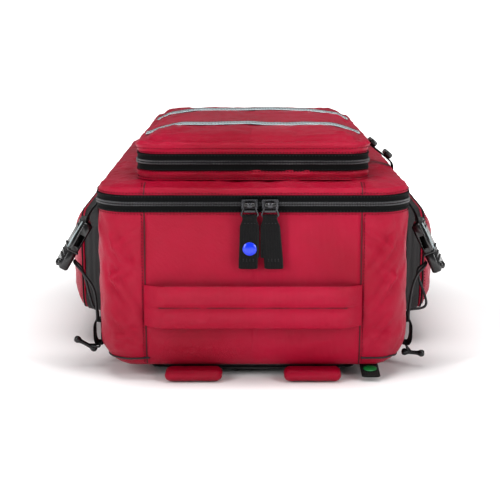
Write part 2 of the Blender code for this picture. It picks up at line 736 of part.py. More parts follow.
def lumbar_pad(look):
    half = PANEL_HALF_WIDTH - 0.010
    low, high = (-half, PANEL_FAR - 0.010 - LUMBAR_LENGTH, 0.0), (half, PANEL_FAR - 0.010, PANEL_LOW - GAP)
    return block("lumbar_pad", low, high, 0.002, look)


def strap_yoke(side, look):
    low_x, high_x = sided(side, STRAP_PAD_INNER - 0.001, STRAP_PAD_OUTER)
    low, high = (low_x, YOKE_NEAR, STRAP_PAD_LIFT), (high_x, YOKE_FAR, YOKE_TOP)
    return block("strap_yoke_" + SIDE_NAMES[side], low, high, 0.004, look)


def shoulder_strap(side, look):
    """A contoured pad under the back panel, from the yoke towards the far end."""
    rings = []
    near = YOKE_FAR + GAP
    low, high = STRAP_PAD_LIFT, PANEL_LOW - 2 * GAP
    for step in range(13):
        share = step / 12
        y = near + (STRAP_PAD_FAR - near) * share
        shift = 0.004 * math.sin(2 * math.pi * share)
        half = (STRAP_PAD_OUTER - STRAP_PAD_INNER) / 2 - 0.004 - 0.010 * share ** 3
        middle = side * ((STRAP_PAD_OUTER + STRAP_PAD_INNER) / 2 + shift)
        section = ((-half, low + 0.002), (-half + 0.003, low), (half - 0.003, low), (half, low + 0.002),
                   (half, high - 0.002), (half - 0.003, high), (-half + 0.003, high), (-half, high - 0.002))
        rings.append([(middle + u, y, v) for u, v in section])
    return loft("shoulder_strap_" + SIDE_NAMES[side], rings, look, (side * 0.072, near, low))


def strap_webbing(side, look):
    """The adjusting webbing from the shoulder strap's end to the lumbar pad."""
    middle = side * (STRAP_PAD_OUTER + STRAP_PAD_INNER) / 2
    far = PANEL_FAR - 0.010 - LUMBAR_LENGTH - GAP
    low = (middle - WEBBING_WIDTH / 2, STRAP_PAD_FAR + GAP, 0.0030)
    high = (middle + WEBBING_WIDTH / 2, far, 0.0030 + WEBBING_THICKNESS)
    return block("strap_webbing_" + SIDE_NAMES[side], low, high, 0.0, look)


REAR_TAPE_LOW = PANEL_LOW + 0.0035
REAR_TAPE_HIGH = BODY_BOTTOM - 2 * GAP
REAR_FACE = PANEL_HALF_WIDTH + GAP + TAPE_THICKNESS
REAR_TAB_SIDE = REAR_FACE + GAP + 0.0015
REAR_TAB_START = REAR_SLIDER_Y - SLIDER_LENGTH / 2 - GAP
REAR_TAB_TOP = BODY_BOTTOM - 0.0005
REAR_TAB_DROOP = 0.007
REAR_SNAP_REACH = 0.036
REAR_SNAP_LIFT = 0.0005


def rear_slider(look):
    low = (REAR_FACE + GAP, REAR_SLIDER_Y - SLIDER_LENGTH / 2, PANEL_LOW + 0.001)
    high = (REAR_FACE + GAP + 0.005, REAR_SLIDER_Y + SLIDER_LENGTH / 2, BODY_BOTTOM - GAP)
    return block("rear_slider", low, high, 0.001, look, (low[0], REAR_SLIDER_Y, low[2]), 1)


def rear_pull_tab(look):
    """A webbing tab that leads forward from the slider and droops to its tip."""
    rings = []
    for share in (0.0, 0.35, 0.7, 1.0):
        y = REAR_TAB_START - REAR_TAB_LENGTH * share
        low, high = rear_tab_top(share) - TAB_THICKNESS, rear_tab_top(share)
        left, right = REAR_TAB_SIDE, REAR_TAB_SIDE + TAB_WIDTH
        rings.append([(left, y, low), (right, y, low), (right, y, high), (left, y, high)])
    return loft("rear_pull_tab", rings, look)


def rear_tab_top(share):
    return REAR_TAB_TOP - REAR_TAB_DROOP * share ** 1.5


def green_snap(look):
    """Lies flat on the drooping tab and passes under the floor of the tub as the slider moves."""
    share = REAR_SNAP_REACH / REAR_TAB_LENGTH
    centre = Vector((REAR_TAB_SIDE + TAB_WIDTH / 2, REAR_TAB_START - REAR_SNAP_REACH, 0))
    centre.z = rear_tab_top(share) + REAR_SNAP_LIFT
    droop = math.atan2(REAR_TAB_DROOP * 1.5 * share ** 0.5, REAR_TAB_LENGTH)
    snap("snap_green", centre, Matrix.Rotation(droop - math.pi / 2, 3, "X"), look)


# ---- The small pieces on the lid ----
def pocket_slider(look):
    face = POCKET_HALF_WIDTH + GAP + TAPE_THICKNESS + GAP
    low = POCKET_ZIP - SLIDER_HEIGHT / 2 - 0.004
    corner = (face, -SLIDER_LENGTH, low)
    far_corner = (face + 0.0045, 0.0, low + SLIDER_HEIGHT)
    return block("pocket_slider", corner, far_corner, 0.001, look, (face, -SLIDER_LENGTH / 2, POCKET_ZIP), 1)


LID_STRAP_Y = -0.060


def lid_strap(look):
    """The black strap from the pocket's right side down to the edge of the lid."""
    top = Vector((POCKET_HALF_WIDTH + 0.0105, LID_STRAP_Y, POCKET_RIM + 0.006))
    end = Vector((BODY_HALF_WIDTH - 0.004, LID_STRAP_Y, LID_TOP + 0.006))
    along = (end - top).normalized()
    lift = Vector((-along.z, 0, along.x)) * 0.0035
    half = Vector((0, WEBBING_WIDTH / 2, 0))
    rings = [[p - half - lift, p + half - lift, p + half + lift, p - half + lift] for p in (top, end)]
    return loft("lid_strap", rings, look)


def centre_on_surface():
    """Shift the whole so that the origin lies under the middle of its box."""
    bpy.context.view_layer.update()
    graph = bpy.context.evaluated_depsgraph_get()
    low, high = Vector((9, 9, 9)), Vector((-9, -9, -9))
    for piece in bpy.context.scene.objects:
        if piece.hide_render:
            continue
        shaped = piece.evaluated_get(graph)
        for vertex in shaped.to_mesh().vertices:
            place = shaped.matrix_world @ vertex.co
            low = Vector(map(min, low, place))
            high = Vector(map(max, high, place))
        shaped.to_mesh_clear()
    shift = Vector(((low.x + high.x) / 2, (low.y + high.y) / 2, low.z))
    for piece in bpy.context.scene.objects:
        piece.location -= shift


def build():
    clear_scene()
    red = make_material("coated_red", RED, 0.42)
    black_web = make_material("black_webbing", BLACK, 0.85)
    black_zip = make_material("black_zipper", BLACK, 0.6)
    black_plastic = make_material("black_plastic", BLACK, 0.25)
    black_foam = make_material("black_mesh_foam", BLACK, 0.9)
    board = make_material("stiffener_board", GREY, 0.5)
    grey_pad = make_material("grey_divider", GREY, 0.8)
    silver = make_material("reflective_tape", SILVER, 0.35)
    steel = make_material("blackened_steel", STEEL, 0.25, 1.0)

    tub_shell(red)
    frame_sheet(board)
    divider("divider_near", -DIVIDER_OFFSET, grey_pad)
    divider("divider_far", DIVIDER_OFFSET, grey_pad)
    tape_end = BODY_FAR - TAPE_END_MARGIN
    zipper_tape("main_zipper_lower", BODY_HALF_WIDTH, BODY_NEAR, BODY_CORNER_RADIUS, tape_end,
                ZIP_HEIGHT - GAP - TAPE_WIDTH, ZIP_HEIGHT - GAP, black_zip)
    zipper_tape("main_zipper_upper", BODY_HALF_WIDTH, BODY_NEAR, BODY_CORNER_RADIUS, tape_end,
                ZIP_HEIGHT + GAP, ZIP_HEIGHT + GAP + TAPE_WIDTH, black_zip)

    lid_shell(red)
    pocket_body(red)
    pocket_lid(red)
    pocket_end = POCKET_FAR - POCKET_CORNER_RADIUS
    zipper_tape("pocket_zipper_lower", POCKET_HALF_WIDTH, POCKET_NEAR, POCKET_CORNER_RADIUS, pocket_end,
                POCKET_RIM - TAPE_WIDTH, POCKET_RIM, black_zip)
    zipper_tape("pocket_zipper_upper", POCKET_HALF_WIDTH, POCKET_NEAR, POCKET_CORNER_RADIUS, pocket_end,
                POCKET_ZIP + GAP, POCKET_ZIP + GAP + TAPE_WIDTH, black_zip)
    reflective_strip("reflective_strip_near", POCKET_NEAR + 0.080, silver)
    reflective_strip("reflective_strip_far", POCKET_FAR - 0.105, silver)
    pocket_slider(steel)
    lid_strap(black_web)

    handle_grip(red)
    for side in (LEFT, RIGHT):
        handle_end(side, red)
        side_pocket(side, red)
        side_flap(side, red)
        side_webbing(side, black_web)
        buckle_webbing(side, black_web)
        socket(side, black_plastic)
        plug(side, black_plastic)
        cord("shock_cord_" + SIDE_NAMES[side], cord_route(side), CORD_DIAMETER, black_web)
        cord_sleeve(side, black_web)
        toggle(side, black_plastic)
        strap_yoke(side, red)
        shoulder_strap(side, black_foam)
        strap_webbing(side, black_web)
        back_pad(side, black_foam)

    for side, x in ((LEFT, LEFT_SLIDER_X), (RIGHT, RIGHT_SLIDER_X)):
        main_slider(side, x, steel)
        pull_bail(side, x, steel)
        pull_tab(side, x, black_web)
    snap_height = tab_top() - TAB_LENGTH + SNAP_ABOVE_TAB_END
    snap_centre = Vector((LEFT_SLIDER_X, BAIL_Y - TAB_THICKNESS / 2 - GAP, snap_height))
    snap("snap_blue", snap_centre, Matrix.Identity(3), make_material("blue_enamel", BLUE, 0.3))

    back_panel(black_foam)
    lumbar_pad(black_foam)
    zipper_tape("rear_zipper_tape", PANEL_HALF_WIDTH, PANEL_NEAR, PANEL_RADIUS, PANEL_FAR - TAPE_END_MARGIN,
                REAR_TAPE_LOW, REAR_TAPE_HIGH, black_zip)
    rear_slider(steel)
    rear_pull_tab(black_web)
    green_snap(make_material("green_enamel", GREEN, 0.3))
    centre_on_surface()


build()
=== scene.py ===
"""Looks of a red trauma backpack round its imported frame: fabric skins, zippers, webbing and hardware."""
import math

import bmesh
import bpy
import numpy as np
from mathutils import Matrix, Vector
from mathutils.bvhtree import BVHTree


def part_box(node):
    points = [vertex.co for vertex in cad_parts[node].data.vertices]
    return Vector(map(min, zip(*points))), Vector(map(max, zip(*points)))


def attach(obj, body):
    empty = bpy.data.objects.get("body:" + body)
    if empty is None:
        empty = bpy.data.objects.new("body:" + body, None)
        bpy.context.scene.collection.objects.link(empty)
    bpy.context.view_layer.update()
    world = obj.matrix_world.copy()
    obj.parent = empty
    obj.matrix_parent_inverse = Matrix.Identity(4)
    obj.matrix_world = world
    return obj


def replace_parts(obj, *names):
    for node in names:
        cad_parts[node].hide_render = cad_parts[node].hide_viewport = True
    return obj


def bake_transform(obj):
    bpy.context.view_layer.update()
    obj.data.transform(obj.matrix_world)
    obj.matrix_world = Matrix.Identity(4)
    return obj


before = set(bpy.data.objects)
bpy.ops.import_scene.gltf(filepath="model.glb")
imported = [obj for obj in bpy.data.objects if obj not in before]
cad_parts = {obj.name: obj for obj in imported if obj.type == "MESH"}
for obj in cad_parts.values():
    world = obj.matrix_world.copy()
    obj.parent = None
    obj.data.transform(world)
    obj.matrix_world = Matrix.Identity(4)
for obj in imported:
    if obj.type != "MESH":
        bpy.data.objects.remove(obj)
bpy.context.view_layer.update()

# ---- Camera, light and floor ----
TUB_LOW, TUB_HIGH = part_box("tub_shell")
MIDDLE_X = (TUB_LOW.x + TUB_HIGH.x) / 2
NEAR_Y = TUB_LOW.y
VIEW_DISTANCE = 1.40
SKY_LIGHT = 0.26
VIEW_ELEVATION = math.radians(12)


def place_camera():
    """Looks at the near end from a little above, as a product photographer would."""
    aim = Vector((MIDDLE_X - 0.0036, NEAR_Y + 0.005, 0.162))
    back = Vector((0, -math.cos(VIEW_ELEVATION), math.sin(VIEW_ELEVATION)))
    camera = bpy.data.objects.new("camera", bpy.data.cameras.new("camera"))
    camera.data.lens = 85
    camera.data.sensor_width = 36
    camera.location = aim + back * VIEW_DISTANCE
    camera.rotation_euler = (-back).to_track_quat("-Z", "Y").to_euler()
    bpy.context.scene.collection.objects.link(camera)
    bpy.context.scene.camera = camera


def area_light(name, place, aim, size, power, colour=(1, 1, 1)):
    lamp = bpy.data.lights.new(name, "AREA")
    lamp.shape = "RECTANGLE"
    lamp.size, lamp.size_y = size
    lamp.energy = power
    lamp.color = colour
    holder = bpy.data.objects.new(name, lamp)
    holder.location = place
    holder.rotation_euler = (Vector(aim) - Vector(place)).to_track_quat("-Z", "Y").to_euler()
    bpy.context.scene.collection.objects.link(holder)


def light_studio():
    world = bpy.data.worlds.new("studio")
    world.use_nodes = True
    tree = world.node_tree
    backdrop = tree.nodes["Background"]
    backdrop.inputs["Color"].default_value = (1, 1, 1, 1)
    ray = tree.nodes.new("ShaderNodeLightPath")
    level = tree.nodes.new("ShaderNodeMapRange")
    level.inputs["To Min"].default_value = SKY_LIGHT
    level.inputs["To Max"].default_value = 1.0
    tree.links.new(ray.outputs["Is Camera Ray"], level.inputs["Value"])
    tree.links.new(level.outputs["Result"], backdrop.inputs["Strength"])
    bpy.context.scene.world = world
    area_light("top_softbox", (0, -0.25, 1.7), (0, 0, 0.1), (1.3, 0.8), 21)
    area_light("left_softbox", (-1.35, -1.35, 0.85), (-0.1, -0.2, 0.12), (0.22, 1.2), 17)
    area_light("right_softbox", (1.45, -1.25, 0.85), (0.1, -0.2, 0.12), (0.22, 1.2), 15)
    bpy.context.scene.view_settings.view_transform = "Standard"
    bpy.context.scene.view_settings.look = "Medium High Contrast"


def make_floor():
    edit = bmesh.new()
    bmesh.ops.create_grid(edit, x_segments=1, y_segments=1, size=6)
    bmesh.ops.translate(edit, verts=edit.verts, vec=(0, 0, -0.0004))
    mesh = bpy.data.meshes.new("floor")
    edit.to_mesh(mesh)
    edit.free()
    floor = bpy.data.objects.new("floor", mesh)
    look = bpy.data.materials.new("floor")
    look.use_nodes = True
    tree = look.node_tree
    shader = tree.nodes["Principled BSDF"]
    shader.inputs["Base Color"].default_value = (0.90, 0.90, 0.90, 1)
    shader.inputs["Roughness"].default_value = 0.65
    shader.inputs["Emission Color"].default_value = (1, 1, 1, 1)
    place = tree.nodes.new("ShaderNodeTexCoord")
    reach = tree.nodes.new("ShaderNodeVectorMath")
    reach.operation = "LENGTH"
    fade = tree.nodes.new("ShaderNodeMapRange")
    fade.interpolation_type = "SMOOTHSTEP"
    fade.inputs["From Min"].default_value = 0.34
    fade.inputs["From Max"].default_value = 0.75
    fade.inputs["To Min"].default_value = 0.0
    fade.inputs["To Max"].default_value = 0.95
    tree.links.new(place.outputs["Object"], reach.inputs[0])
    tree.links.new(reach.outputs["Value"], fade.inputs["Value"])
    tree.links.new(fade.outputs["Result"], shader.inputs["Emission Strength"])
    mesh.materials.append(look)
    bpy.context.scene.collection.objects.link(floor)


place_camera()
light_studio()
make_floor()


# ---- Mesh tools ----
def solid(name, points, faces, look, body, uv=None):
    """A smooth mesh with a map in metres along and across, riding on its body."""
    mesh = bpy.data.meshes.new(name)
    mesh.from_pydata([tuple(point) for point in points], [], faces)
    mesh.shade_smooth()
    if uv is not None:
        layer = mesh.uv_layers.new(name="cloth")
        order = np.zeros(len(mesh.loops), dtype=np.int32)
        mesh.loops.foreach_get("vertex_index", order)
        layer.data.foreach_set("uv", np.asarray(uv, dtype=np.float32)[order].ravel())
    mesh.materials.append(look)
    made = bpy.data.objects.new(name, mesh)
    bpy.context.scene.collection.objects.link(made)
    if body:
        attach(made, body)
    return made


def grid_faces(rows, columns, closed):
    """Quads of a grid of points, whose rows may close on themselves."""
    faces = []
    for row in range(rows - 1):
        for column in range(columns if closed else columns - 1):
            after = (column + 1) % columns
            here, above = row * columns, (row + 1) * columns
            faces.append((here + column, here + after, above + after, above + column))
    return faces


def ripple(points, size, seed, octaves=3):
    """Smooth uneven waves between about -1 and 1, made of turned and warped sines."""
    draw = np.random.RandomState(seed)
    total = np.zeros(len(points))
    weight = 1.0
    for octave in range(octaves):
        for wave in range(4):
            heading = draw.normal(size=3)
            heading *= 2 * math.pi / (size * np.linalg.norm(heading))
            bend = draw.normal(size=3) * 2 * math.pi / (size * 3)
            phase = draw.uniform(0, 6.28, 2)
            total += weight * np.sin(points @ heading + phase[0] + 1.7 * np.sin(points @ bend + phase[1]))
        size *= 0.5
        weight *= 0.5
    return total / 4


def crease_lines(points, lines):
    """Soft ridges along given segments: start, end, height and width of each."""
    total = np.zeros(len(points))
    for start, end, height, width in lines:
        start, end = np.array(start), np.array(end)
        along = end - start
        share = np.clip((points - start) @ along / (along @ along), 0, 1)
        away = np.linalg.norm(points - start - share[:, None] * along, axis=1)
        ridge = np.exp(-(away / width) ** 2) - 0.7 * np.exp(-((away - 1.6 * width) / width) ** 2)
        total += height * ridge * np.sin(math.pi * np.clip(share, 0.02, 0.98))
    return total


def ring(low_x, high_x, low_y, high_y, radius, count):
    """Evenly spaced points round a rounded rectangle, from the middle of the near side."""
    corners = ((high_x, low_y, -90), (high_x, high_y, 0), (low_x, high_y, 90), (low_x, low_y, 180))
    route = [((low_x + high_x) / 2, low_y)]
    for x, y, start in corners:
        centre_x = x - math.copysign(radius, x - (low_x + high_x) / 2)
        centre_y = y - math.copysign(radius, y - (low_y + high_y) / 2)
        for step in range(13):
            turn = math.radians(start + 90 * step / 12)
            route.append((centre_x + radius * math.cos(turn), centre_y + radius * math.sin(turn)))
    route.append(route[0])
    route = np.array(route)
    far = np.concatenate([[0], np.cumsum(np.linalg.norm(np.diff(route, axis=0), axis=1))])
    stops = np.arange(count) / count * far[-1]
    return np.stack([np.interp(stops, far, route[:, 0]), np.interp(stops, far, route[:, 1])], axis=1), far[-1]


def refine(levels, spacing):
    """Adds levels between those given, keeping each of them."""
    done = [levels[0]]
    for before, after in zip(levels, levels[1:]):
        span = max(abs(b - a) for a, b in zip(before, after))
        steps = max(1, round(span / spacing))
        for step in range(1, steps + 1):
            done.append(tuple(a + (b - a) * step / steps for a, b in zip(before, after)))
    return done


def skin(name, box, levels, radius, relief, look, body, spacing=0.0026, ends="both"):
    """Rings of a rounded rectangle stacked through the levels (height, inset across, inset along)."""
    low_x, high_x, low_y, high_y = box
    count = int(2 * (high_x - low_x + high_y - low_y) / spacing)
    rows, maps = [], []
    length = 0.0
    levels = refine(levels, spacing * 1.1)
    for index, (z, across, along) in enumerate(levels):
        bend = max(radius - max(across, along), 0.004)
        bend = min(bend, (high_x - low_x) / 2 - across - 0.0002, (high_y - low_y) / 2 - along - 0.0002)
        flat, around = ring(low_x + across, high_x - across, low_y + along, high_y - along, bend, count)
        rows.append(np.column_stack([flat, np.full(count, z)]))
        if index:
            length += np.linalg.norm(np.subtract(levels[index], levels[index - 1])[:3])
        maps.append(np.column_stack([np.arange(count) / count * around, np.full(count, length)]))
    block = np.array(rows)
    side = np.roll(block, -1, axis=1) - np.roll(block, 1, axis=1)
    up = np.gradient(block, axis=0)
    normal = np.cross(side, up)
    normal /= np.linalg.norm(normal, axis=2, keepdims=True) + 1e-12
    if relief:
        out = relief(block.reshape(-1, 3), normal.reshape(-1, 3)).reshape(block.shape[:2])
        block = block + normal * out[..., None]
    faces = grid_faces(len(levels), count, True)
    if ends in ("both", "low"):
        faces.append(tuple(reversed(range(count))))
    if ends in ("both", "high"):
        faces.append(tuple(range((len(levels) - 1) * count, len(levels) * count)))
    return solid(name, block.reshape(-1, 3), faces, look, body, np.array(maps).reshape(-1, 2))


def surface_of(made):
    return BVHTree.FromPolygons(
        [made.matrix_world @ vertex.co for vertex in made.data.vertices],
        [tuple(face.vertices) for face in made.data.polygons],
    )


def spread(points, step):
    """A route resampled at an even step."""
    route = np.array([tuple(point) for point in points])
    far = np.concatenate([[0], np.cumsum(np.linalg.norm(np.diff(route, axis=0), axis=1))])
    stops = np.linspace(0, far[-1], max(2, int(far[-1] / step) + 1))
    return np.stack([np.interp(stops, far, route[:, axis]) for axis in range(3)], axis=1)


def lay_on(tree, points, step=0.003, lift=0.0, straight=False):
    """Lays a route on a surface; gives its points and the surface's normals. A straight one keeps its X."""
    laid, normals = [], []
    for point in spread(points, step):
        spot, normal, _, _ = tree.find_nearest(Vector(point))
        if straight:
            spot.x = point[0]
        laid.append(np.array(spot) + np.array(normal) * lift)
        normals.append(np.array(normal))
    return np.array(laid), np.array(normals)


def unit(rows):
    return rows / (np.linalg.norm(rows, axis=1, keepdims=True) + 1e-12)


def sweep(name, path, normals, profile, look, body, closed_profile=False, caps=False, relief=None):
    """Carries a profile (across, out) along a route with its surface normals."""
    path = np.asarray(path, dtype=float)
    normals = unit(np.asarray(normals, dtype=float))
    along = unit(np.gradient(path, axis=0))
    across = unit(np.cross(normals, along))
    profile = np.asarray(profile, dtype=float)
    points = path[:, None] + across[:, None] * profile[None, :, :1] + normals[:, None] * profile[None, :, 1:]
    far = np.concatenate([[0], np.cumsum(np.linalg.norm(np.diff(path, axis=0), axis=1))])
    wide = np.concatenate([[0], np.cumsum(np.linalg.norm(np.diff(profile, axis=0), axis=1))])
    rows, columns = points.shape[:2]
    uv = np.stack(np.meshgrid(far, wide, indexing="ij"), axis=-1).reshape(-1, 2)
    if relief:
        points = relief(points, far, wide)
    faces = grid_faces(rows, columns, closed_profile)
    if caps:
        faces.append(tuple(range(columns)))
        faces.append(tuple(reversed(range((rows - 1) * columns, rows * columns))))
    return solid(name, points.reshape(-1, 3), faces, look, body, uv)


def round_profile(radius, sides=8, flat=1.0):
    turns = [2 * math.pi * side / sides for side in range(sides)]
    return [(radius * math.cos(turn), radius * flat * math.sin(turn)) for turn in turns]


def strap_profile(width, thickness, columns=9, swell=0.0):
    """A webbing section: rounded edges, slightly fuller in the middle."""
    top = []
    for column in range(columns):
        share = column / (columns - 1) * 2 - 1
        full = thickness / 2 * (1 - abs(share) ** 6) + swell * (1 - share * share)
        top.append((share * width / 2, full))
    bottom = [(across, -out) for across, out in reversed(top[1:-1])]
    return top + bottom


def stitches(name, rows, look, body, long=0.0025, gap=0.0014, thick=0.00068):
    """Thread stitches along several laid routes, in one mesh."""
    points, faces, uv = [], [], []
    for path, normals in rows:
        far = np.concatenate([[0], np.cumsum(np.linalg.norm(np.diff(path, axis=0), axis=1))])
        for start in np.arange(gap, far[-1] - long, long + gap):
            ends = []
            for stop in (start, start + long / 2, start + long):
                ends.append([np.interp(stop, far, path[:, axis]) for axis in range(3)])
            ends = np.array(ends)
            normal = normals[min(int(start / far[-1] * len(normals)), len(normals) - 1)]
            along = ends[2] - ends[0]
            along /= np.linalg.norm(along) + 1e-12
            across = np.cross(normal, along)
            base = len(points)
            points.append(ends[0] - normal * thick * 0.3)
            for turn in range(4):
                spin = math.pi / 2 * turn
                points.append(ends[1] + thick * (across * math.cos(spin) + normal * math.sin(spin)))
            points.append(ends[2] - normal * thick * 0.3)
            for turn in range(4):
                after = (turn + 1) % 4
                faces.append((base, base + 1 + turn, base + 1 + after))
                faces.append((base + 5, base + 1 + after, base + 1 + turn))
            uv += [(start, 0)] * 6
    return solid(name, points, faces, look, body, uv)


# ---- Materials ----
def linear(red, green, blue):
    """A screen colour as the renderer's light values."""
    values = []
    for part in (red, green, blue):
        share = part / 255
        values.append(share / 12.92 if share <= 0.04045 else ((share + 0.055) / 1.055) ** 2.4)
    return (*values, 1)


def wire(tree, kind, **settings):
    """Adds a shader node, setting its properties, and its sockets by name or by link."""
    node = tree.nodes.new("ShaderNode" + kind)
    for key, value in settings.items():
        if hasattr(node, key):
            setattr(node, key, value)
            continue
        socket = node.inputs[int(key[3:])] if key.startswith("in_") else node.inputs[key.replace("_", " ")]
        if isinstance(value, bpy.types.NodeSocket):
            tree.links.new(value, socket)
        else:
            socket.default_value = value
    return node


def material(name, colour, shade, rough, weave=None, crease=0.0, by="UV", coat=0.0, sheen=0.0,
             metallic=0.0, grain=60, patch=9, bumpy=0.00025, gloss=0.5):
    """Procedural material: patchy colour, uneven gloss, and a bump of weave, grain and creases."""
    look = bpy.data.materials.new(name)
    look.use_nodes = True
    tree = look.node_tree
    shader = tree.nodes["Principled BSDF"]
    place = wire(tree, "TexCoord").outputs
    spots = wire(tree, "TexNoise", Vector=place["Object"], Scale=patch, Detail=5.0)
    ramp = wire(tree, "ValToRGB", Fac=spots.outputs[0])
    ramp.color_ramp.elements[0].position, ramp.color_ramp.elements[1].position = 0.32, 0.68
    ramp.color_ramp.elements[0].color, ramp.color_ramp.elements[1].color = shade, colour
    fine = wire(tree, "TexNoise", Vector=place["Object"], Scale=grain * 12, Detail=4.0)
    spread_out = wire(tree, "MapRange", in_0=fine.outputs[0], in_3=rough - 0.07, in_4=rough + 0.09)
    height = fine.outputs[0]
    if crease:
        folds = wire(tree, "TexNoise", Vector=place["Object"], Scale=24.0, Detail=6.0, Distortion=0.9)
        height = wire(tree, "Math", operation="MULTIPLY_ADD", in_0=folds.outputs[0], in_1=crease,
                      in_2=height).outputs[0]
    colour_out = ramp.outputs[0]
    if weave:
        where = place[by]
        bands = []
        for direction, pitch in zip("XY", weave):
            bands.append(wire(tree, "TexWave", Vector=where, Scale=0.314 / pitch,
                              wave_type="BANDS", bands_direction=direction).outputs[1])
        cloth = wire(tree, "Math", operation="MULTIPLY", in_0=bands[0], in_1=bands[1]).outputs[0]
        height = wire(tree, "Math", operation="MULTIPLY_ADD", in_0=cloth, in_1=1.4, in_2=height).outputs[0]
        dark = wire(tree, "MapRange", in_0=cloth, in_3=0.80, in_4=1.10)
        colour_out = wire(tree, "Mix", data_type="RGBA", blend_type="MULTIPLY", in_0=1.0,
                          in_6=colour_out, in_7=dark.outputs[0]).outputs[2]
    bump = wire(tree, "Bump", Height=height, Strength=0.55, Distance=bumpy)
    tree.links.new(colour_out, shader.inputs["Base Color"])
    tree.links.new(spread_out.outputs[0], shader.inputs["Roughness"])
    tree.links.new(bump.outputs[0], shader.inputs["Normal"])
    shader.inputs["Metallic"].default_value = metallic
    shader.inputs["Coat Weight"].default_value = coat
    shader.inputs["Coat Roughness"].default_value = 0.30
    shader.inputs["Specular IOR Level"].default_value = gloss
    shader.inputs["Sheen Weight"].default_value = sheen
    return look


def make_looks():
    black = linear(20, 20, 21)
    soot = linear(11, 11, 12)
    return {
        "red": material("coated_red", linear(174, 3, 54), linear(152, 2, 40), 0.31, weave=(0.0014, 0.0012),
                        crease=3.8, gloss=0.27, bumpy=0.0009),
        # Darker red for the seam welts: painted shade standing in for the dark groove along each seam.
        "red_seam_shade": material("red_seam_shade", linear(84, 4, 18), linear(66, 3, 14), 0.5, weave=(0.0009, 0.0009),
                             crease=1.0),
        "red_thread": material("red_thread", linear(60, 3, 12), linear(44, 2, 10), 0.55, gloss=0.2),
        "black_cloth": material("black_cloth", linear(30, 28, 30), linear(20, 19, 20), 0.55,
                                weave=(0.0014, 0.0014), crease=3.0, bumpy=0.0006),
        "lining": material("lining", linear(70, 70, 74), linear(52, 52, 56), 0.6, weave=(0.001, 0.001),
                           crease=1.5),
        "web": material("black_webbing", black, soot, 0.62, weave=(0.0016, 0.0030), gloss=0.16, sheen=0.06,
                        bumpy=0.0008),
        "tape": material("zipper_tape", linear(14, 14, 15), linear(8, 8, 9), 0.65, gloss=0.12,
                         weave=(0.0012, 0.0008)),
        # The coil's light grey is partly painted highlight: it draws the bright dotted line along each
        # zipper.
        "coil": material("zipper_coil", linear(84, 84, 86), linear(50, 50, 52), 0.28),
        "thread": material("black_thread", linear(36, 36, 38), soot, 0.55),
        "plastic": material("black_plastic", linear(18, 18, 19), linear(11, 11, 12), 0.24, coat=0.25,
                            bumpy=0.0001),
        "foam": material("mesh_foam", linear(34, 34, 36), soot, 0.7, weave=(0.003, 0.003), sheen=0.2,
                         by="Object"),
        "board": material("stiffener_board", linear(52, 52, 54), black, 0.5, by="Object"),
        "divider": material("divider_foam", linear(88, 90, 94), linear(70, 72, 76), 0.65,
                            weave=(0.002, 0.002), by="Object"),
        "shine": material("reflective_tape", linear(176, 190, 192), linear(150, 164, 168), 0.33,
                          weave=(0.0010, 0.0010), metallic=0.25, crease=1.0),
        "steel": material("blackened_steel", linear(88, 88, 90), linear(52, 52, 55), 0.27, metallic=0.9,
                          bumpy=0.0001),
        "blue": material("blue_enamel", linear(0, 52, 215), linear(0, 38, 180), 0.24, coat=0.4, bumpy=0.0001),
        "green": material("green_enamel", linear(6, 120, 60), linear(4, 96, 46), 0.24, coat=0.4,
                          bumpy=0.0001),
        "cord": material("elastic_cord", linear(24, 24, 26), linear(46, 46, 48), 0.5, weave=(0.0012, 0.0012)),
    }


LOOKS = make_looks()
# ---- The shell of the pack ----
SHIFT_X = (TUB_LOW.x + TUB_HIGH.x) / 2
RIM_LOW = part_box("main_zipper_lower")[0].z
RIM = TUB_HIGH.z
FLOOR = TUB_LOW.z
CROWN = 0.005
SIDE_EDGE = 0.035
END_EDGE = 0.015
CORNER = 0.045
SEAM_X = 0.1285
CREASE_HEIGHT = 0.0021
CREASE_WIDTH = 0.0046
TUB_WALL = 0.004
LID_WALL = 0.003
POCKET_WALL = 0.0025
LINING_STEP = 0.006
BAG = (TUB_LOW.x, TUB_HIGH.x, TUB_LOW.y + CROWN, TUB_HIGH.y - CROWN)


def tub_levels():
    """Rounded bottom edge, bulging ends, straight band under the zipper."""
    levels = []
    for step in range(9):
        turn = math.radians(90 * step / 8)
        short = 1 - math.sin(turn)
        levels.append((FLOOR + SIDE_EDGE * (1 - math.cos(turn)), SIDE_EDGE * short, END_EDGE * short))
    top = RIM_LOW - 0.003
    done = []
    for z, across, along in levels + [(top * share + (FLOOR + SIDE_EDGE) * (1 - share), 0, 0)
                                      for share in (0.17, 0.33, 0.5, 0.67, 0.83, 1.0)]:
        out = CROWN * math.sin(math.pi * min((z - FLOOR) / (top - FLOOR), 1))
        done.append((z, across, along - out))
    return done + [(RIM, 0, 0)]


def corner_creases():
    """Folds that fan out from the vertical seams into the corner panels of the near end."""
    lines = []
    y = NEAR_Y + 0.004
    for side in (-1, 1):
        for foot, head, lean, high in (
            (0.040, 0.085, 0.030, 1.6), (0.075, 0.150, 0.042, 2.0), (0.120, 0.185, 0.036, 1.7),
            (0.150, 0.120, 0.040, 1.3), (0.060, 0.050, 0.036, 1.4), (0.185, 0.160, 0.030, 1.3),
        ):
            start = (SHIFT_X + side * (SEAM_X + 0.004), y, foot)
            end = (SHIFT_X + side * (SEAM_X + 0.012 + lean), y + 0.006, head)
            lines.append((start, end, high * CREASE_HEIGHT, CREASE_WIDTH))
    lines.append(((SHIFT_X - 0.110, y, 0.135), (SHIFT_X - 0.050, y, 0.150), 0.0006, 0.008))
    lines.append(((SHIFT_X + 0.115, y, 0.060), (SHIFT_X + 0.060, y, 0.045), 0.0007, 0.008))
    return lines


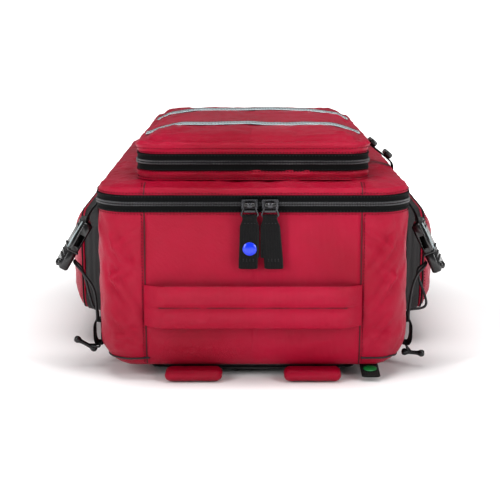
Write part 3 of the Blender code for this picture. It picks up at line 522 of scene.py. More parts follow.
def tub_relief(points, normals):
    loose = np.clip((np.abs(points[:, 0] - SHIFT_X) - SEAM_X) / 0.012, 0, 1)
    far_side = np.clip((points[:, 1] - NEAR_Y - 0.06) / 0.05, 0, 1)
    loose = np.maximum(loose, far_side * 0.8)
    under_zip = np.clip((RIM_LOW - points[:, 2]) / 0.012, 0, 1)
    low = np.clip((points[:, 2] - FLOOR) / 0.02, 0, 1)
    out = 0.0013 * ripple(points, 0.062, 4, 2) * loose + 0.0006 * ripple(points, 0.11, 9)
    out += 0.0020 * np.abs(ripple(points, 0.060, 14, 2)) * loose
    out += crease_lines(points, corner_creases())
    seam = np.exp(-((np.abs(points[:, 0] - SHIFT_X) - SEAM_X) / 0.0022) ** 2) * (normals[:, 1] < -0.5)
    return (out - 0.0019 * seam) * under_zip * low - 0.0003


def build_tub():
    shell = skin("tub_fabric", BAG, tub_levels(), CORNER, tub_relief, LOOKS["red"], "pack", ends="low")
    wall = TUB_WALL
    inside = [(RIM, 0.0008, 0.0008), (RIM, wall, wall), (RIM - 0.004, wall, wall), (0.06, wall, wall - 0.002),
              (0.035, 0.012, 0.008), (FLOOR + wall, 0.035, 0.015), (FLOOR + wall, 0.120, 0.120)]
    skin("tub_lining", BAG, inside, CORNER, None, LOOKS["lining"], "pack", LINING_STEP, "high")
    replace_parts(shell, "tub_shell")
    return shell


def lid_relief(points, normals):
    side = np.clip((points[:, 2] - 0.2277) / 0.003, 0, 1)
    top = np.clip(normals[:, 2], 0, 1)
    out = 0.0012 * ripple(points, 0.034, 21) * side + 0.0010 * ripple(points, 0.07, 22) * side
    return out - 0.0007 * top


def build_lid():
    low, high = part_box("lid_shell")
    box = (low.x, high.x, low.y, high.y)
    rim, top = low.z, high.z
    bend = rim + (top - rim) * 0.55
    levels = [(rim, 0, 0), (bend, 0, 0), (bend + 0.006, 0.0035, 0.0035), (top - 0.0018, 0.012, 0.012),
              (top, 0.022, 0.022), (top, 0.08, 0.08), (top, 0.150, 0.150)]
    shell = skin("lid_fabric", box, levels, CORNER, lid_relief, LOOKS["red"], "lid", ends="high")
    wall = LID_WALL
    inside = [(rim, 0.0005, 0.0005), (rim, wall, wall), (bend - 0.001, wall, wall),
              (top - wall, 0.022 + wall, 0.022 + wall), (top - wall, 0.150, 0.150)]
    skin("lid_lining", box, inside, CORNER, None, LOOKS["lining"], "lid", LINING_STEP, "high")
    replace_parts(shell, "lid_shell")
    return shell


# ---- Front pocket ----
POCKET_LOW, POCKET_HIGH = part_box("pocket_body")
COVER_LOW, COVER_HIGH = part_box("pocket_lid")
POCKET_BOX = (POCKET_LOW.x, POCKET_HIGH.x, POCKET_LOW.y, POCKET_HIGH.y)
POCKET_CORNER = 0.030
FOLD = 0.020
DOME = COVER_HIGH.z - COVER_LOW.z - FOLD


def pocket_relief(points, normals):
    free = np.clip((points[:, 2] - POCKET_LOW.z) / 0.004, 0, 1)
    out = 0.0011 * ripple(points, 0.028, 31) + 0.0018 * np.abs(ripple(points, 0.05, 32, 2))
    return out * free * (points[:, 2] < 0.2515)


def build_pocket():
    low, high = POCKET_LOW.z, POCKET_HIGH.z
    wall = POCKET_WALL
    levels = [(low, -0.0016, -0.0016), (low + 0.003, 0, 0), (low + 0.0075, -0.0016, -0.0016),
              (low + 0.0108, 0, 0), (high, 0, 0)]
    shell = skin("pocket_gusset", POCKET_BOX, levels, POCKET_CORNER, pocket_relief, LOOKS["red"], "lid",
                 ends="none")
    inside = [(high, 0.0003, 0.0003), (high, wall, wall), (low + wall, wall, wall), (low + wall, 0.12, 0.12)]
    skin("pocket_lining", POCKET_BOX, inside, POCKET_CORNER, None, LOOKS["lining"], "lid", LINING_STEP,
         "high")
    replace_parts(shell, "pocket_body")
    return shell


def cover_relief(points, normals):
    """Creases near the fold's ends, a broad sag between them, and a rim along each side."""
    z = points[:, 2] - COVER_LOW.z
    gusset = np.clip((z - 0.0102) / 0.002, 0, 1)
    top = np.clip((z - FOLD) / 0.006, 0, 1)
    ends = np.clip((np.abs(points[:, 0] - SHIFT_X) - 0.07) / 0.05, 0, 1)
    out = gusset * 0.0014 * ripple(points, 0.034, 41) * (0.4 + 0.6 * ends)
    out += gusset * 0.0020 * np.abs(ripple(points, 0.055, 42, 2)) * (0.3 + 0.7 * ends)
    near = np.clip((0.14 - (points[:, 1] - COVER_LOW.y)) / 0.14, 0, 1)
    out += top * 0.0022 * ripple(points, 0.085, 43, 2) * (0.35 + 0.65 * near)
    roll = np.exp(-((z - FOLD + 0.0005) / 0.0032) ** 2)
    out += roll * 0.0026
    out -= 0.0022 * np.exp(-((z - FOLD - 0.0065) / 0.0022) ** 2)
    return out


def build_cover():
    base = COVER_LOW.z
    levels = [(base, 0, 0), (base + 0.0102, 0, 0), (base + 0.0130, 0.0008, 0.0008),
              (base + FOLD - 0.001, 0.0005, 0.0005), (base + FOLD + 0.002, 0.0025, 0.0025),
              (base + FOLD + 0.006, 0.009, 0.009)]
    for share in (0.30, 0.42, 0.55, 0.67, 0.78, 0.88, 1.0):
        rise = math.sin(math.pi / 2 * share)
        draw = 0.004 + 0.090 * share ** 2
        levels.append((base + FOLD + DOME * rise, max(draw, 0.011 + 0.02 * (share - 0.3)), max(draw, 0.011)))
    levels.append((base + FOLD + DOME, 0.13, 0.13))
    shell = skin("cover_fabric", POCKET_BOX, levels, POCKET_CORNER, cover_relief, LOOKS["red"], "pocket_lid",
                 ends="high")
    wall = POCKET_WALL
    inside = [(base, 0.0003, 0.0003), (base, wall, wall), (base + FOLD - 0.005, wall, wall),
              (base + FOLD - 0.002, 0.010, 0.010)]
    for share in (0.35, 0.65, 0.88, 1.0):
        rise = math.sin(math.pi / 2 * share)
        draw = 0.012 + 0.082 * share ** 2 + wall
        inside.append((base + FOLD + DOME * rise - wall - 0.0030, draw, draw))
    skin("cover_lining", POCKET_BOX, inside, POCKET_CORNER, None, LOOKS["lining"], "pocket_lid", LINING_STEP,
         "high")
    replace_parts(shell, "pocket_lid")
    return shell


ROUTE_POINTS = 2400


def band_route(box, z, radius, out, end_y, step=0.004):
    """An open route round the near end and both sides at one height, with its outward normals."""
    low_x, high_x, low_y, high_y = box
    flat, _ = ring(low_x - out, high_x + out, low_y - out, high_y + out, radius + out, ROUTE_POINTS)
    kept = np.flatnonzero(flat[:, 1] < end_y)
    halfway = ROUTE_POINTS // 2
    route = flat[np.concatenate([kept[kept > halfway], kept[kept <= halfway]])]
    even = spread(np.column_stack([route, np.full(len(route), z)]), step)
    along = unit(np.gradient(even, axis=0))
    return even, np.cross(along, (0, 0, 1))


TOOTH = ((-1, -1, 0), (1, -1, 0), (1, 1, 0), (-1, 1, 0), (-0.6, -0.8, 1), (0.6, -0.8, 1), (0.6, 0.8, 1),
         (-0.6, 0.8, 1))
TOOTH_HALF_WIDTH = 0.00066
TOOTH_HALF_HEIGHT = 0.0011
TOOTH_RISE = 0.0012
TOOTH_PITCH = 0.0019


def zipper(name, box, low, high, radius, end_y, body, coil_up, out=0.0004):
    """A tape with a stitched hem on one edge and half a coil of teeth along the other."""
    route, normals = band_route(box, (low + high) / 2, radius, out, end_y)
    half = (high - low) / 2
    sign = 1 if coil_up else -1
    profile = [(-half, -0.0004), (-half, 0.0008), (-half * 0.8, 0.0011), (-half * 0.66, 0.0008),
               (half * 0.55, 0.0007), (half * 0.66, 0.0012), (half * 0.98, 0.0011), (half, -0.0003)]
    profile = [(-across * sign, rise) for across, rise in profile]
    tape = sweep(name, route, normals, profile, LOOKS["tape"], body)
    coil_z = (high if coil_up else low) - sign * 0.0011
    fine, fine_normals = band_route(box, coil_z, radius, out + 0.0011, end_y, TOOTH_PITCH)
    points, faces, uv = [], [], []
    along = unit(np.gradient(fine, axis=0))
    for spot, normal, way in zip(fine, fine_normals, along):
        base = len(points)
        for a, u, o in TOOTH:
            side = way * a * TOOTH_HALF_WIDTH
            points.append(spot + side + np.array((0, 0, u * TOOTH_HALF_HEIGHT)) + normal * o * TOOTH_RISE)
            uv.append((0, 0))
        faces += [(base + 4, base + 5, base + 6, base + 7)]
        faces += [(base + i, base + (i + 1) % 4, base + 4 + (i + 1) % 4, base + 4 + i) for i in range(4)]
    solid(name + "_teeth", points, faces, LOOKS["coil"], body, uv)
    hem_z = (low if coil_up else high) + sign * 0.0016
    row = band_route(box, hem_z, radius, out + 0.0011, end_y)
    stitches(name + "_stitches", [row], LOOKS["thread"], body)
    return tape


def build_zippers():
    for node, body, box, corner in (
        ("main_zipper_lower", "pack", BAG, CORNER),
        ("main_zipper_upper", "lid", BAG, CORNER),
        ("pocket_zipper_lower", "lid", POCKET_BOX, POCKET_CORNER),
        ("pocket_zipper_upper", "pocket_lid", POCKET_BOX, POCKET_CORNER),
    ):
        low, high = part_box(node)
        tape = zipper(node + "_tape", box, low.z, high.z, corner, high.y, body, node.endswith("lower"))
        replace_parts(tape, node)


TUB = build_tub()
LID = build_lid()
POCKET = build_pocket()
COVER = build_cover()
build_zippers()


def seam(name, tree, points, look, body, radius=0.0008, lift=0.0002, rows=(0.003,), across=(1, 0, 0)):
    """A rolled welt with stitch rows beside it, laid on a fabric."""
    path, normals = lay_on(tree, points, straight=True)
    sweep(name, path + normals * lift, normals, round_profile(radius, 8, 0.6), look, body,
          closed_profile=True)
    laid = []
    for offset in rows:
        moved = [Vector(point) + Vector(across) * offset for point in points]
        laid.append(lay_on(tree, moved, lift=0.0004, straight=True))
    if laid:
        stitches(name + "_stitches", laid, LOOKS["red_thread"], body)


def build_seams():
    tub_tree, lid_tree = surface_of(TUB), surface_of(LID)
    for side, label in ((-1, "left"), (1, "right")):
        x = SHIFT_X + side * SEAM_X
        route = [(x, NEAR_Y, RIM_LOW - 0.001), (x, NEAR_Y - 0.001, 0.12), (x, NEAR_Y + 0.004, 0.03),
                 (x, NEAR_Y + 0.012, 0.018)]
        # The welt's darker red paints the shade of the seam's groove.
        seam("near_seam_" + label, tub_tree, route, LOOKS["red_seam_shade"], "pack", rows=(side * 0.0032,))
        top = [(x, NEAR_Y + 0.004, 0.2285), (x, NEAR_Y + 0.010, 0.236), (x, NEAR_Y + 0.027, 0.240)]
        seam("lid_seam_" + label, lid_tree, top, LOOKS["red_seam_shade"], "lid", rows=(side * 0.0032,))
    pocket_tree, cover_tree = surface_of(POCKET), surface_of(COVER)
    for name, z, tree, body, box, corner in (
        ("rim_stitches", RIM_LOW - 0.0022, tub_tree, "pack", BAG, CORNER),
        ("lid_rim_stitches", 0.2300, lid_tree, "lid", BAG, CORNER),
        ("pocket_foot_stitches", 0.2425, pocket_tree, "lid", POCKET_BOX, POCKET_CORNER),
        ("pocket_band_stitches", 0.2502, pocket_tree, "lid", POCKET_BOX, POCKET_CORNER),
        ("cover_band_stitches", COVER_LOW.z + 0.0115, cover_tree, "pocket_lid", POCKET_BOX, POCKET_CORNER),
        ("cover_fold_stitches", COVER_LOW.z + FOLD - 0.0035, cover_tree, "pocket_lid", POCKET_BOX,
         POCKET_CORNER),
    ):
        route, _ = band_route(box, z, corner, 0.001, box[3] - 0.03)
        stitches(name, [lay_on(tree, route, lift=0.0003)], LOOKS["red_thread"], body)
    inset = (BAG[0] + 0.012, BAG[1] - 0.012, BAG[2] + 0.004, BAG[3] - 0.004)
    low_edge, _ = band_route(inset, FLOOR + 0.012, 0.035, 0.0, BAG[3] - 0.05)
    path, normals = lay_on(tub_tree, low_edge, lift=0.0004)
    for label, keep in (("left", path[:, 0] < SHIFT_X - 0.124), ("right", path[:, 0] > SHIFT_X + 0.128)):
        sweep("bottom_piping_" + label, path[keep], normals[keep], round_profile(0.0012, 8),
              LOOKS["thread"], "pack", closed_profile=True, caps=True)


build_seams()
# ---- Straps, wires and hardware ----
def smooth(points, step=0.0015):
    """A rounded route through the points."""
    knots = [Vector(point) for point in points]
    knots = [knots[0] * 2 - knots[1]] + knots + [knots[-1] * 2 - knots[-2]]
    route = []
    for a, b, c, d in zip(knots, knots[1:], knots[2:], knots[3:]):
        for index in range(12):
            t = index / 12
            route.append(0.5 * (2 * b + (c - a) * t + (2 * a - 5 * b + 4 * c - d) * t ** 2
                                + (3 * b - a - 3 * c + d) * t ** 3))
    route.append(knots[-2])
    return spread(route, step)


def strap(name, points, across, width, thickness, look, body, swell=0.0, relief=None, step=0.0015):
    """Webbing along a rounded route, its width held along a given direction."""
    path = smooth(points, step)
    along = unit(np.gradient(path, axis=0))
    normals = np.cross(along, np.asarray(across, dtype=float))
    profile = strap_profile(width, thickness, 9, swell)
    return sweep(name, path, normals, profile, LOOKS[look], body, closed_profile=True, caps=True,
                 relief=relief)


def rod(name, points, radius, look, body, closed=False, sides=10, step=0.001):
    """Round wire or cord along a rounded route."""
    path = smooth(points, step) if not closed else smooth(list(points) + [points[0]], step)
    along = unit(np.gradient(path, axis=0))
    side = np.cross(along, (0.31, 0.52, 0.79))
    return sweep(name, path, side, round_profile(radius, sides), LOOKS[look], body, closed_profile=True,
                 caps=True)


def softened(node, bevel, look, body):
    """The CAD piece with its edges rounded over."""
    edit = bmesh.new()
    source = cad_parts[node]
    edit.from_mesh(source.data)
    edit.transform(source.matrix_world)
    bmesh.ops.remove_doubles(edit, verts=edit.verts, dist=0.00002)
    bmesh.ops.dissolve_limit(edit, angle_limit=math.radians(2), verts=edit.verts, edges=edit.edges)
    sharp = [edge for edge in edit.edges if edge.is_manifold and edge.calc_face_angle() > math.radians(30)]
    bmesh.ops.bevel(edit, geom=sharp, offset=bevel, segments=3, affect="EDGES", clamp_overlap=True)
    bmesh.ops.triangulate(edit, faces=[face for face in edit.faces if len(face.verts) > 4])
    mesh = bpy.data.meshes.new(node + "_made")
    edit.to_mesh(mesh)
    edit.free()
    mesh.shade_smooth()
    mesh.set_sharp_from_angle(angle=math.radians(38))
    mesh.materials.append(LOOKS[look])
    made = bpy.data.objects.new(node + "_made", mesh)
    bpy.context.scene.collection.objects.link(made)
    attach(made, body)
    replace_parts(made, node)
    return made


def brick(name, low, high, bevel, look, body, place=None):
    """A rounded block between two corners, optionally moved into a turned place."""
    edit = bmesh.new()
    low, high = Vector(low), Vector(high)
    bmesh.ops.create_cube(edit, size=1.0)
    bmesh.ops.scale(edit, verts=edit.verts, vec=high - low)
    bmesh.ops.translate(edit, verts=edit.verts, vec=(low + high) / 2)
    bmesh.ops.bevel(edit, geom=edit.edges[:], offset=bevel, segments=4, affect="EDGES", profile=0.5)
    if place is not None:
        edit.transform(place)
    mesh = bpy.data.meshes.new(name)
    edit.to_mesh(mesh)
    edit.free()
    mesh.shade_smooth()
    mesh.set_sharp_from_angle(angle=math.radians(50))
    mesh.materials.append(LOOKS[look])
    made = bpy.data.objects.new(name, mesh)
    bpy.context.scene.collection.objects.link(made)
    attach(made, body)
    return made


def dome(name, centre, axis, radius, height, look, body):
    """A turned button with a rounded cap and a rim."""
    turn = Vector(axis).to_track_quat("Z", "Y").to_matrix()
    rows = []
    outline = [(0.0, 1.0), (0.10, 1.05), (0.22, 1.05), (0.30, 0.99), (0.42, 0.94), (0.62, 0.84), (0.80, 0.66),
               (0.93, 0.42), (0.99, 0.18)]
    for up, out in outline:
        for side in range(40):
            spin = 2 * math.pi * side / 40
            reach = radius * out
            spot = Vector((reach * math.cos(spin), reach * math.sin(spin), height * up))
            rows.append(Vector(centre) + turn @ spot)
    faces = grid_faces(len(outline), 40, True)
    faces.append(tuple(range((len(outline) - 1) * 40, len(outline) * 40)))
    return solid(name, rows, faces, LOOKS[look], body)


# ---- Grab handle ----
def build_handle():
    low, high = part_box("handle_grip")
    end_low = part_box("handle_end_left")[0]
    end_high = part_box("handle_end_right")[1]
    centre_z, half_high = (low.z + high.z) / 2, (high.z - low.z) / 2
    root_y = NEAR_Y + 0.0006

    def section(x):
        edge = min(x - end_low.x, end_high.x - x)
        share = min(max(edge / 0.026, 0.0), 1.0)
        rise = math.sin(share * math.pi / 2)
        middle = root_y + ((low.y + high.y) / 2 - root_y) * rise
        thick = 0.0016 + (0.0062 - 0.0016) * rise
        tall = half_high * (0.97 + 0.03 * share)
        points = []
        for step in range(64):
            turn = 2 * math.pi * step / 64
            up = math.sin(turn)
            out = math.cos(turn)
            roll = abs(math.sin(math.pi * min(abs(up), 1.0))) ** 0.5 * 0.78 + 0.22
            z = centre_z + tall * up
            y = middle - thick * math.copysign(abs(out) ** 0.55, out) * (roll if abs(out) > 0.02 else 0.3)
            points.append((x, y, z))
        return points

    def piece(name, start, end):
        stops = np.arange(start, end + 0.0012, (end - start) / max(1, round((end - start) / 0.0025)))
        stops = [stop for stop in stops if stop <= end + 1e-6]
        rows = np.array([section(x) for x in stops])
        flat = rows.reshape(-1, 3)
        shape = 0.0005 * ripple(flat, 0.022, 61) + 0.0004 * ripple(flat, 0.06, 62)
        front = np.where(flat[:, 1] < (low.y + high.y) / 2, -1, 0.4)
        calm = np.clip(np.minimum(flat[:, 0] - end_low.x, end_high.x - flat[:, 0]) / 0.02, 0, 1)
        flat[:, 1] += front * shape * calm
        uv = flat[:, [0, 2]]
        return solid(name, flat, grid_faces(len(stops), 64, True), LOOKS["red"], None, uv), flat

    grip, _ = piece("handle_rolls", low.x, high.x)
    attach(grip, "handle")
    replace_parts(grip, "handle_grip")
    tree = surface_of(grip)
    route = [(x, low.y - 0.004, centre_z) for x in np.linspace(low.x + 0.002, high.x - 0.002, 80)]
    path = []
    for point in route:
        spot, _, _, _ = tree.ray_cast(Vector(point), Vector((0, 1, 0)))
        if spot is not None:
            path.append(np.array(spot))
    path = np.array(path)
    path[:, 1] = path[:, 1].mean()
    normals = np.tile((0.0, -1.0, 0.0), (len(path), 1))
    above = path + np.array((0, 0, 0.0032))
    stitches("handle_stitches", [(path + normals * 0.0004, normals), (above + normals * 0.0012, normals)],
             LOOKS["red_thread"], "handle")
    # The centre welt is darker red: painted shade along the handle's seam.
    sweep("handle_seam", path, normals, round_profile(0.0007, 8), LOOKS["red_seam_shade"], "handle",
          closed_profile=True)
    for node, start, end, seam_x, grip_x in (
        ("handle_end_left", end_low.x, low.x, end_low.x, low.x),
        ("handle_end_right", high.x, end_high.x, end_high.x, high.x),
    ):
        made, _ = piece(node + "_roll", start, end)
        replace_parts(made, node)
        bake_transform(made)


# ---- Sliders and pulls ----
def build_slider(side):
    low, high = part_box("main_slider_" + side)
    body = "slider_" + side
    mid_x, mid_z = (low.x + high.x) / 2, (low.z + high.z) / 2
    back, front = high.y, high.y - 0.0036
    plate = brick("slider_plate_" + side, (low.x, front, low.z), (high.x, back, high.z), 0.0016, "steel",
                  body)
    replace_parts(plate, "main_slider_" + side)
    for sign in (-1, 1):
        brick("slider_flange_%s_%s" % (side, "out" if sign > 0 else "in"),
              (mid_x - 0.0092, front - 0.0006, mid_z + sign * 0.0048 - 0.0009),
              (mid_x + 0.0092, front + 0.0020, mid_z + sign * 0.0048 + 0.0009), 0.0006, "steel", body)
    arch = [(mid_x - 0.0052, front + 0.0006, mid_z), (mid_x - 0.0048, low.y + 0.0034, mid_z),
            (mid_x - 0.0012, low.y + 0.0007, mid_z), (mid_x + 0.0012, low.y + 0.0007, mid_z),
            (mid_x + 0.0048, low.y + 0.0034, mid_z), (mid_x + 0.0052, front + 0.0006, mid_z)]
    strap("slider_bridge_" + side, arch, (0, 0, 1), 0.0066, 0.0016, "steel", body, 0.0002, step=0.0006)
    brick("slider_cap_" + side, (mid_x - 0.0070, low.y, mid_z - 0.0022),
          (mid_x + 0.0070, low.y + 0.0042, mid_z + 0.0026), 0.0019, "plastic", body)


def build_pull(side, lean):
    body = "pull_" + side
    low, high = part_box("pull_bail_" + side)
    y, middle = (low.y + high.y) / 2, (low.x + high.x) / 2
    bar = 0.00105
    half_top, half_low = 0.0070 - bar, 0.0117 - bar
    up, down = high.z - bar, low.z + bar
    corners = [(-half_top, up), (half_top, up), (half_low, down), (-half_low, down)]
    route = []
    for index, (x, z) in enumerate(corners):
        before, after = corners[index - 1], corners[(index + 1) % 4]
        for other, share in ((before, 0.16), (after, 0.16)):
            route.append((middle + x + (other[0] - x) * share, y, z + (other[1] - z) * share))
        for share in (0.38, 0.62):
            route.append((middle + x + (after[0] - x) * share, y, z + (after[1] - z) * share))
    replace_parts(rod("bail_wire_" + side, route, bar, "steel", body, True), "pull_bail_" + side)
    brick("bail_plate_" + side, (middle - 0.0068, y - 0.0005, low.z + 0.0062),
          (middle + 0.0068, y + 0.0005, low.z + 0.0092), 0.0004, "steel", body)
    tab_low, tab_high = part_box("pull_tab_" + side)
    wide = tab_high.x - tab_low.x
    middle = (tab_low.x + tab_high.x) / 2
    front, back = tab_low.y + 0.0006, tab_high.y - 0.0006
    z_top, z_end = low.z + bar, tab_low.z
    layers = [(0.018, back, z_end + 0.012), (0.008, back + 0.0002, z_end + 0.030), (0.0, back, z_top - 0.004),
              (0.0, y + 0.0012, z_top + 0.0012), (0.0, y - 0.0006, z_top + 0.0022),
              (0.0, y - 0.0023, z_top + 0.0002),
              (0.002, front - 0.0002, z_top - 0.005), (0.4, front + 0.0002, z_end + 0.034),
              (0.8, front - 0.0006, z_end + 0.014), (1.0, front - 0.0003, z_end + 0.0012),
              (1.0, front + 0.0010, z_end - 0.0004), (1.0, back + 0.0012, z_end + 0.0014),
              (0.9, back + 0.0014, z_end + 0.0100)]
    points = [(middle + lean * share, depth, z) for share, depth, z in layers]

    def neck(rows, far, across):
        """Gathers the webbing where it passes through the wire."""
        gather = np.clip((rows[..., 2] - (z_top - 0.011)) / 0.007, 0, 1) * 0.24
        centre = rows[..., 0].mean(axis=1, keepdims=True)
        rows[..., 0] = centre + (rows[..., 0] - centre) * (1 - gather)
        return rows

    tab = strap("tab_webbing_" + side, points, (1, 0, 0), wide, 0.0016, "web", body, relief=neck, step=0.0008)
    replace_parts(tab, "pull_tab_" + side)
    tree = surface_of(tab)
    rows = []
    for z in (z_end + 0.011, z_end + 0.009, z_top - 0.0075):
        share = 1.0 if z < z_end + 0.02 else 0.05
        route = [(middle + lean * share + x, front - 0.006, z) for x in (-wide * 0.42, 0, wide * 0.42)]
        path, _ = lay_on(tree, route, 0.002)
        rows.append((path, np.tile((0.0, -1.0, 0.0), (len(path), 1))))
    stitches("tab_stitches_" + side, rows, LOOKS["thread"], body)


SNAP_RADIUS = 0.0080


def build_snaps():
    low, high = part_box("snap_blue")
    centre = ((low.x + high.x) / 2, high.y + 0.0004, (low.z + high.z) / 2)
    blue = dome("blue_cap", centre, (0, -1, 0), SNAP_RADIUS, high.y - low.y, "blue", "pull_left")
    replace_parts(blue, "snap_blue")
    low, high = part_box("snap_green")
    centre = ((low.x + high.x) / 2, (low.y + high.y) / 2, low.z + 0.0010)
    green = dome("green_cap", centre, (0, -0.12, 1), SNAP_RADIUS, 0.0025, "green", "rear_slider")
    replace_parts(green, "snap_green")


# ---- Side straps, buckles and cords ----
BUCKLE_TILT = {"left": 31.0, "right": 26.0}
BUCKLE_TWIST = 15.0
BUCKLE_HANG_OUT = 0.0024
BUCKLE_HANG_Z = 0.205
SIDE_SIGN = {"left": -1, "right": 1}


def buckle_place(side, twisted=True):
    """The buckle hangs from the upper edge, tipped outwards and turned a little."""
    sign = SIDE_SIGN[side]
    low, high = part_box("side_webbing_" + side)
    face = high.x if side == "right" else low.x
    turn = Matrix.Rotation(math.radians(-sign * BUCKLE_TILT[side]), 4, "Y")
    if twisted:
        turn = turn @ Matrix.Rotation(math.radians(-sign * BUCKLE_TWIST), 4, "Z")
    y = (low.y + high.y) / 2
    return Matrix.Translation((face + sign * BUCKLE_HANG_OUT, y, BUCKLE_HANG_Z)) @ turn


def build_side_gear(side):
    sign = SIDE_SIGN[side]
    low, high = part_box("side_webbing_" + side)
    y, width = (low.y + high.y) / 2, high.y - low.y
    x = (low.x + high.x) / 2
    band = [(x, y, 0.0300), (x, y, 0.110), (x, y, 0.195), (x, y, high.z + 0.0005)]
    webbing = strap("side_band_" + side, band, (0, sign, 0), width, 0.0022, "web", "pack")
    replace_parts(webbing, "side_webbing_" + side)
    place = buckle_place(side)
    flat = buckle_place(side, False)
    loop = [(x, y, high.z - 0.004), (x + sign * 0.001, y, high.z + 0.0004), flat @ Vector((0, 0, 0.0035)),
            flat @ Vector((sign * 0.0022, 0, -0.006)), flat @ Vector((sign * 0.0020, 0, -0.016)),
            flat @ Vector((0, 0, -0.0225))]
    top = strap("buckle_loop_" + side, loop, (0, sign, 0), width, 0.0028, "web", "pack")
    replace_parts(top, "buckle_webbing_" + side)
    softened("buckle_socket_" + side, 0.0014, "plastic", "pack")
    softened("buckle_plug_" + side, 0.0011, "plastic", "plug_" + side)
    outer = sign * 0.0062
    for index, z in enumerate((-0.028, -0.034)):
        brick("socket_rib_%s_%d" % (side, index), (outer - 0.0009, -0.0135, z - 0.0011),
              (outer + 0.0009, 0.0135, z + 0.0011), 0.0007, "plastic", "pack", place)
    brick("socket_lip_" + side, (-0.0072, -0.0172, -0.0632), (0.0072, 0.0172, -0.0602), 0.0012, "plastic",
          "pack", place)
    # A pale strip in the reflective tape material along the socket's outer face: a painted highlight on the
    # buckle.
    strip = [place @ Vector((outer + sign * 0.0012, -0.0105, -0.024)),
             place @ Vector((outer + sign * 0.0016, -0.0108, -0.042)),
             place @ Vector((outer + sign * 0.0014, -0.0105, -0.060))]
    across = place.to_3x3() @ Vector((0, 1, 0))
    strap("socket_painted_highlight_" + side, strip, across, 0.0042, 0.0010, "shine", "pack")
    for index, z in enumerate((-0.070, -0.076)):
        brick("plug_rib_%s_%d" % (side, index), (outer - 0.0009, -0.0130, z - 0.0012),
              (outer + 0.0009, 0.0130, z + 0.0012), 0.0008, "plastic", "plug_" + side, place)
    knob = place @ Vector((sign * 0.0070, -0.0070, -0.0835))
    facing = place.to_3x3() @ Vector((sign, -0.5, 0))
    dome("plug_knob_" + side, knob, facing, 0.0046, 0.0030, "plastic", "plug_" + side)
    build_sleeve(side)
    build_cord(side)


def build_sleeve(side):
    sign = SIDE_SIGN[side]
    low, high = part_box("cord_sleeve_" + side)
    y, width = (low.y + high.y) / 2, high.y - low.y
    inner, outer = (low.x, high.x) if sign > 0 else (high.x, low.x)
    inner -= sign * 0.0006
    wrap = [(inner, y, high.z - 0.001), (outer - sign * 0.003, y, high.z), (outer, y, high.z - 0.006),
            (outer + sign * 0.0004, y, (low.z + high.z) / 2), (outer, y, low.z + 0.006),
            (outer - sign * 0.003, y, low.z), (inner, y, low.z + 0.001)]
    sleeve = strap("sleeve_" + side, wrap, (0, sign, 0), width, 0.0022, "web", "pack")
    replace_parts(sleeve, "cord_sleeve_" + side)
    for index, shift in enumerate((-0.006, 0.006)):
        rod("sleeve_eye_%s_%d" % (side, index),
            [((inner + outer) / 2 + 0.003 * math.cos(t), y + shift + 0.003 * math.sin(t), high.z + 0.0006)
             for t in (0, 1.26, 2.51, 3.77, 5.03)], 0.0007, "plastic", "pack", True)


def build_cord(side):
    sign = SIDE_SIGN[side]
    low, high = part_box("shock_cord_" + side)
    radius = 0.0016
    place = buckle_place(side, False)
    inward = 0.0060 + 0.0170 * math.sin(math.radians(BUCKLE_TWIST)) + 2 * radius
    loop = place @ Vector((-sign * inward, 0, -0.022 - 0.040 - 0.0143))
    below = loop + Vector((-sign * 0.010, 0, -0.012))
    y = (low.y + high.y) / 2
    start = Vector(((low.x if sign > 0 else high.x) + sign * (radius + 0.0012), y, low.z))
    halfway = Vector((start.x + sign * 0.003, y, 0.100))
    near, far = Vector((0, -0.006, 0)), Vector((0, 0.006, 0))
    bulge = Vector((sign * (0.020 if side == "right" else 0.004), 0, -0.022))
    up = [start + near, start + near + Vector((0, 0, 0.012)), halfway + near, below + near, loop + near * 0.7]
    down = [loop + far * 0.7, below + far + Vector((sign * 0.002, 0, 0)), halfway + far + bulge,
            start + far + Vector((sign * 0.001, 0, 0.010)), start + far]
    route = up + [loop + Vector((sign * 0.0012, 0, 0.003))] + down
    cord = rod("elastic_" + side, route, radius, "cord", None, step=0.0015)
    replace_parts(cord, "shock_cord_" + side)
    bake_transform(cord)


def build_toggle(side):
    """A dog-bone of moulded rubber on a short loop of cord under the sleeve."""
    low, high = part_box("toggle_" + side)
    rising = side == "left"
    near_end = Vector((high.x - 0.004, high.y - 0.0045, low.z + 0.0045)) if rising else Vector(
        (low.x + 0.004, high.y - 0.0045, high.z - 0.0045))
    far_end = Vector((low.x + 0.004, low.y + 0.0045, high.z - 0.0045)) if rising else Vector(
        (high.x - 0.004, low.y + 0.0045, high.z - 0.0050))
    along = far_end - near_end
    turn = along.to_track_quat("Z", "Y").to_matrix()
    outline = [(-0.08, 0.30), (-0.06, 0.70), (0.0, 0.96), (0.07, 1.04), (0.14, 0.98), (0.22, 0.72),
               (0.30, 0.60), (0.5, 0.56), (0.70, 0.60), (0.78, 0.72), (0.86, 0.98), (0.93, 1.04), (1.0, 0.96),
               (1.06, 0.70), (1.08, 0.30)]
    rows = []
    for share, size in outline:
        for side_step in range(24):
            spin = 2 * math.pi * side_step / 24
            reach = 0.0043 * size
            spot = Vector((reach * math.cos(spin), reach * math.sin(spin), 0))
            rows.append(near_end + along * share + turn @ spot)
    faces = grid_faces(len(outline), 24, True)
    faces += [tuple(reversed(range(24))), tuple(range((len(outline) - 1) * 24, len(outline) * 24))]
    made = solid("dog_bone_" + side, rows, faces, LOOKS["plastic"], "pack")
    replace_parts(made, "toggle_" + side)
    sleeve_low, sleeve_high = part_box("cord_sleeve_" + side)
    x = (sleeve_low.x + sleeve_high.x) / 2
    y = (sleeve_low.y + sleeve_high.y) / 2
    for index, shift in enumerate((-0.004, 0.004)):
        end = near_end + along * (0.30 + 0.12 * index)
        route = [(x, y + shift, sleeve_low.z + 0.002), (x, y + shift * 1.4, sleeve_low.z - 0.004), end]
        rod("toggle_loop_%s_%d" % (side, index), route, 0.0013, "cord", "pack")


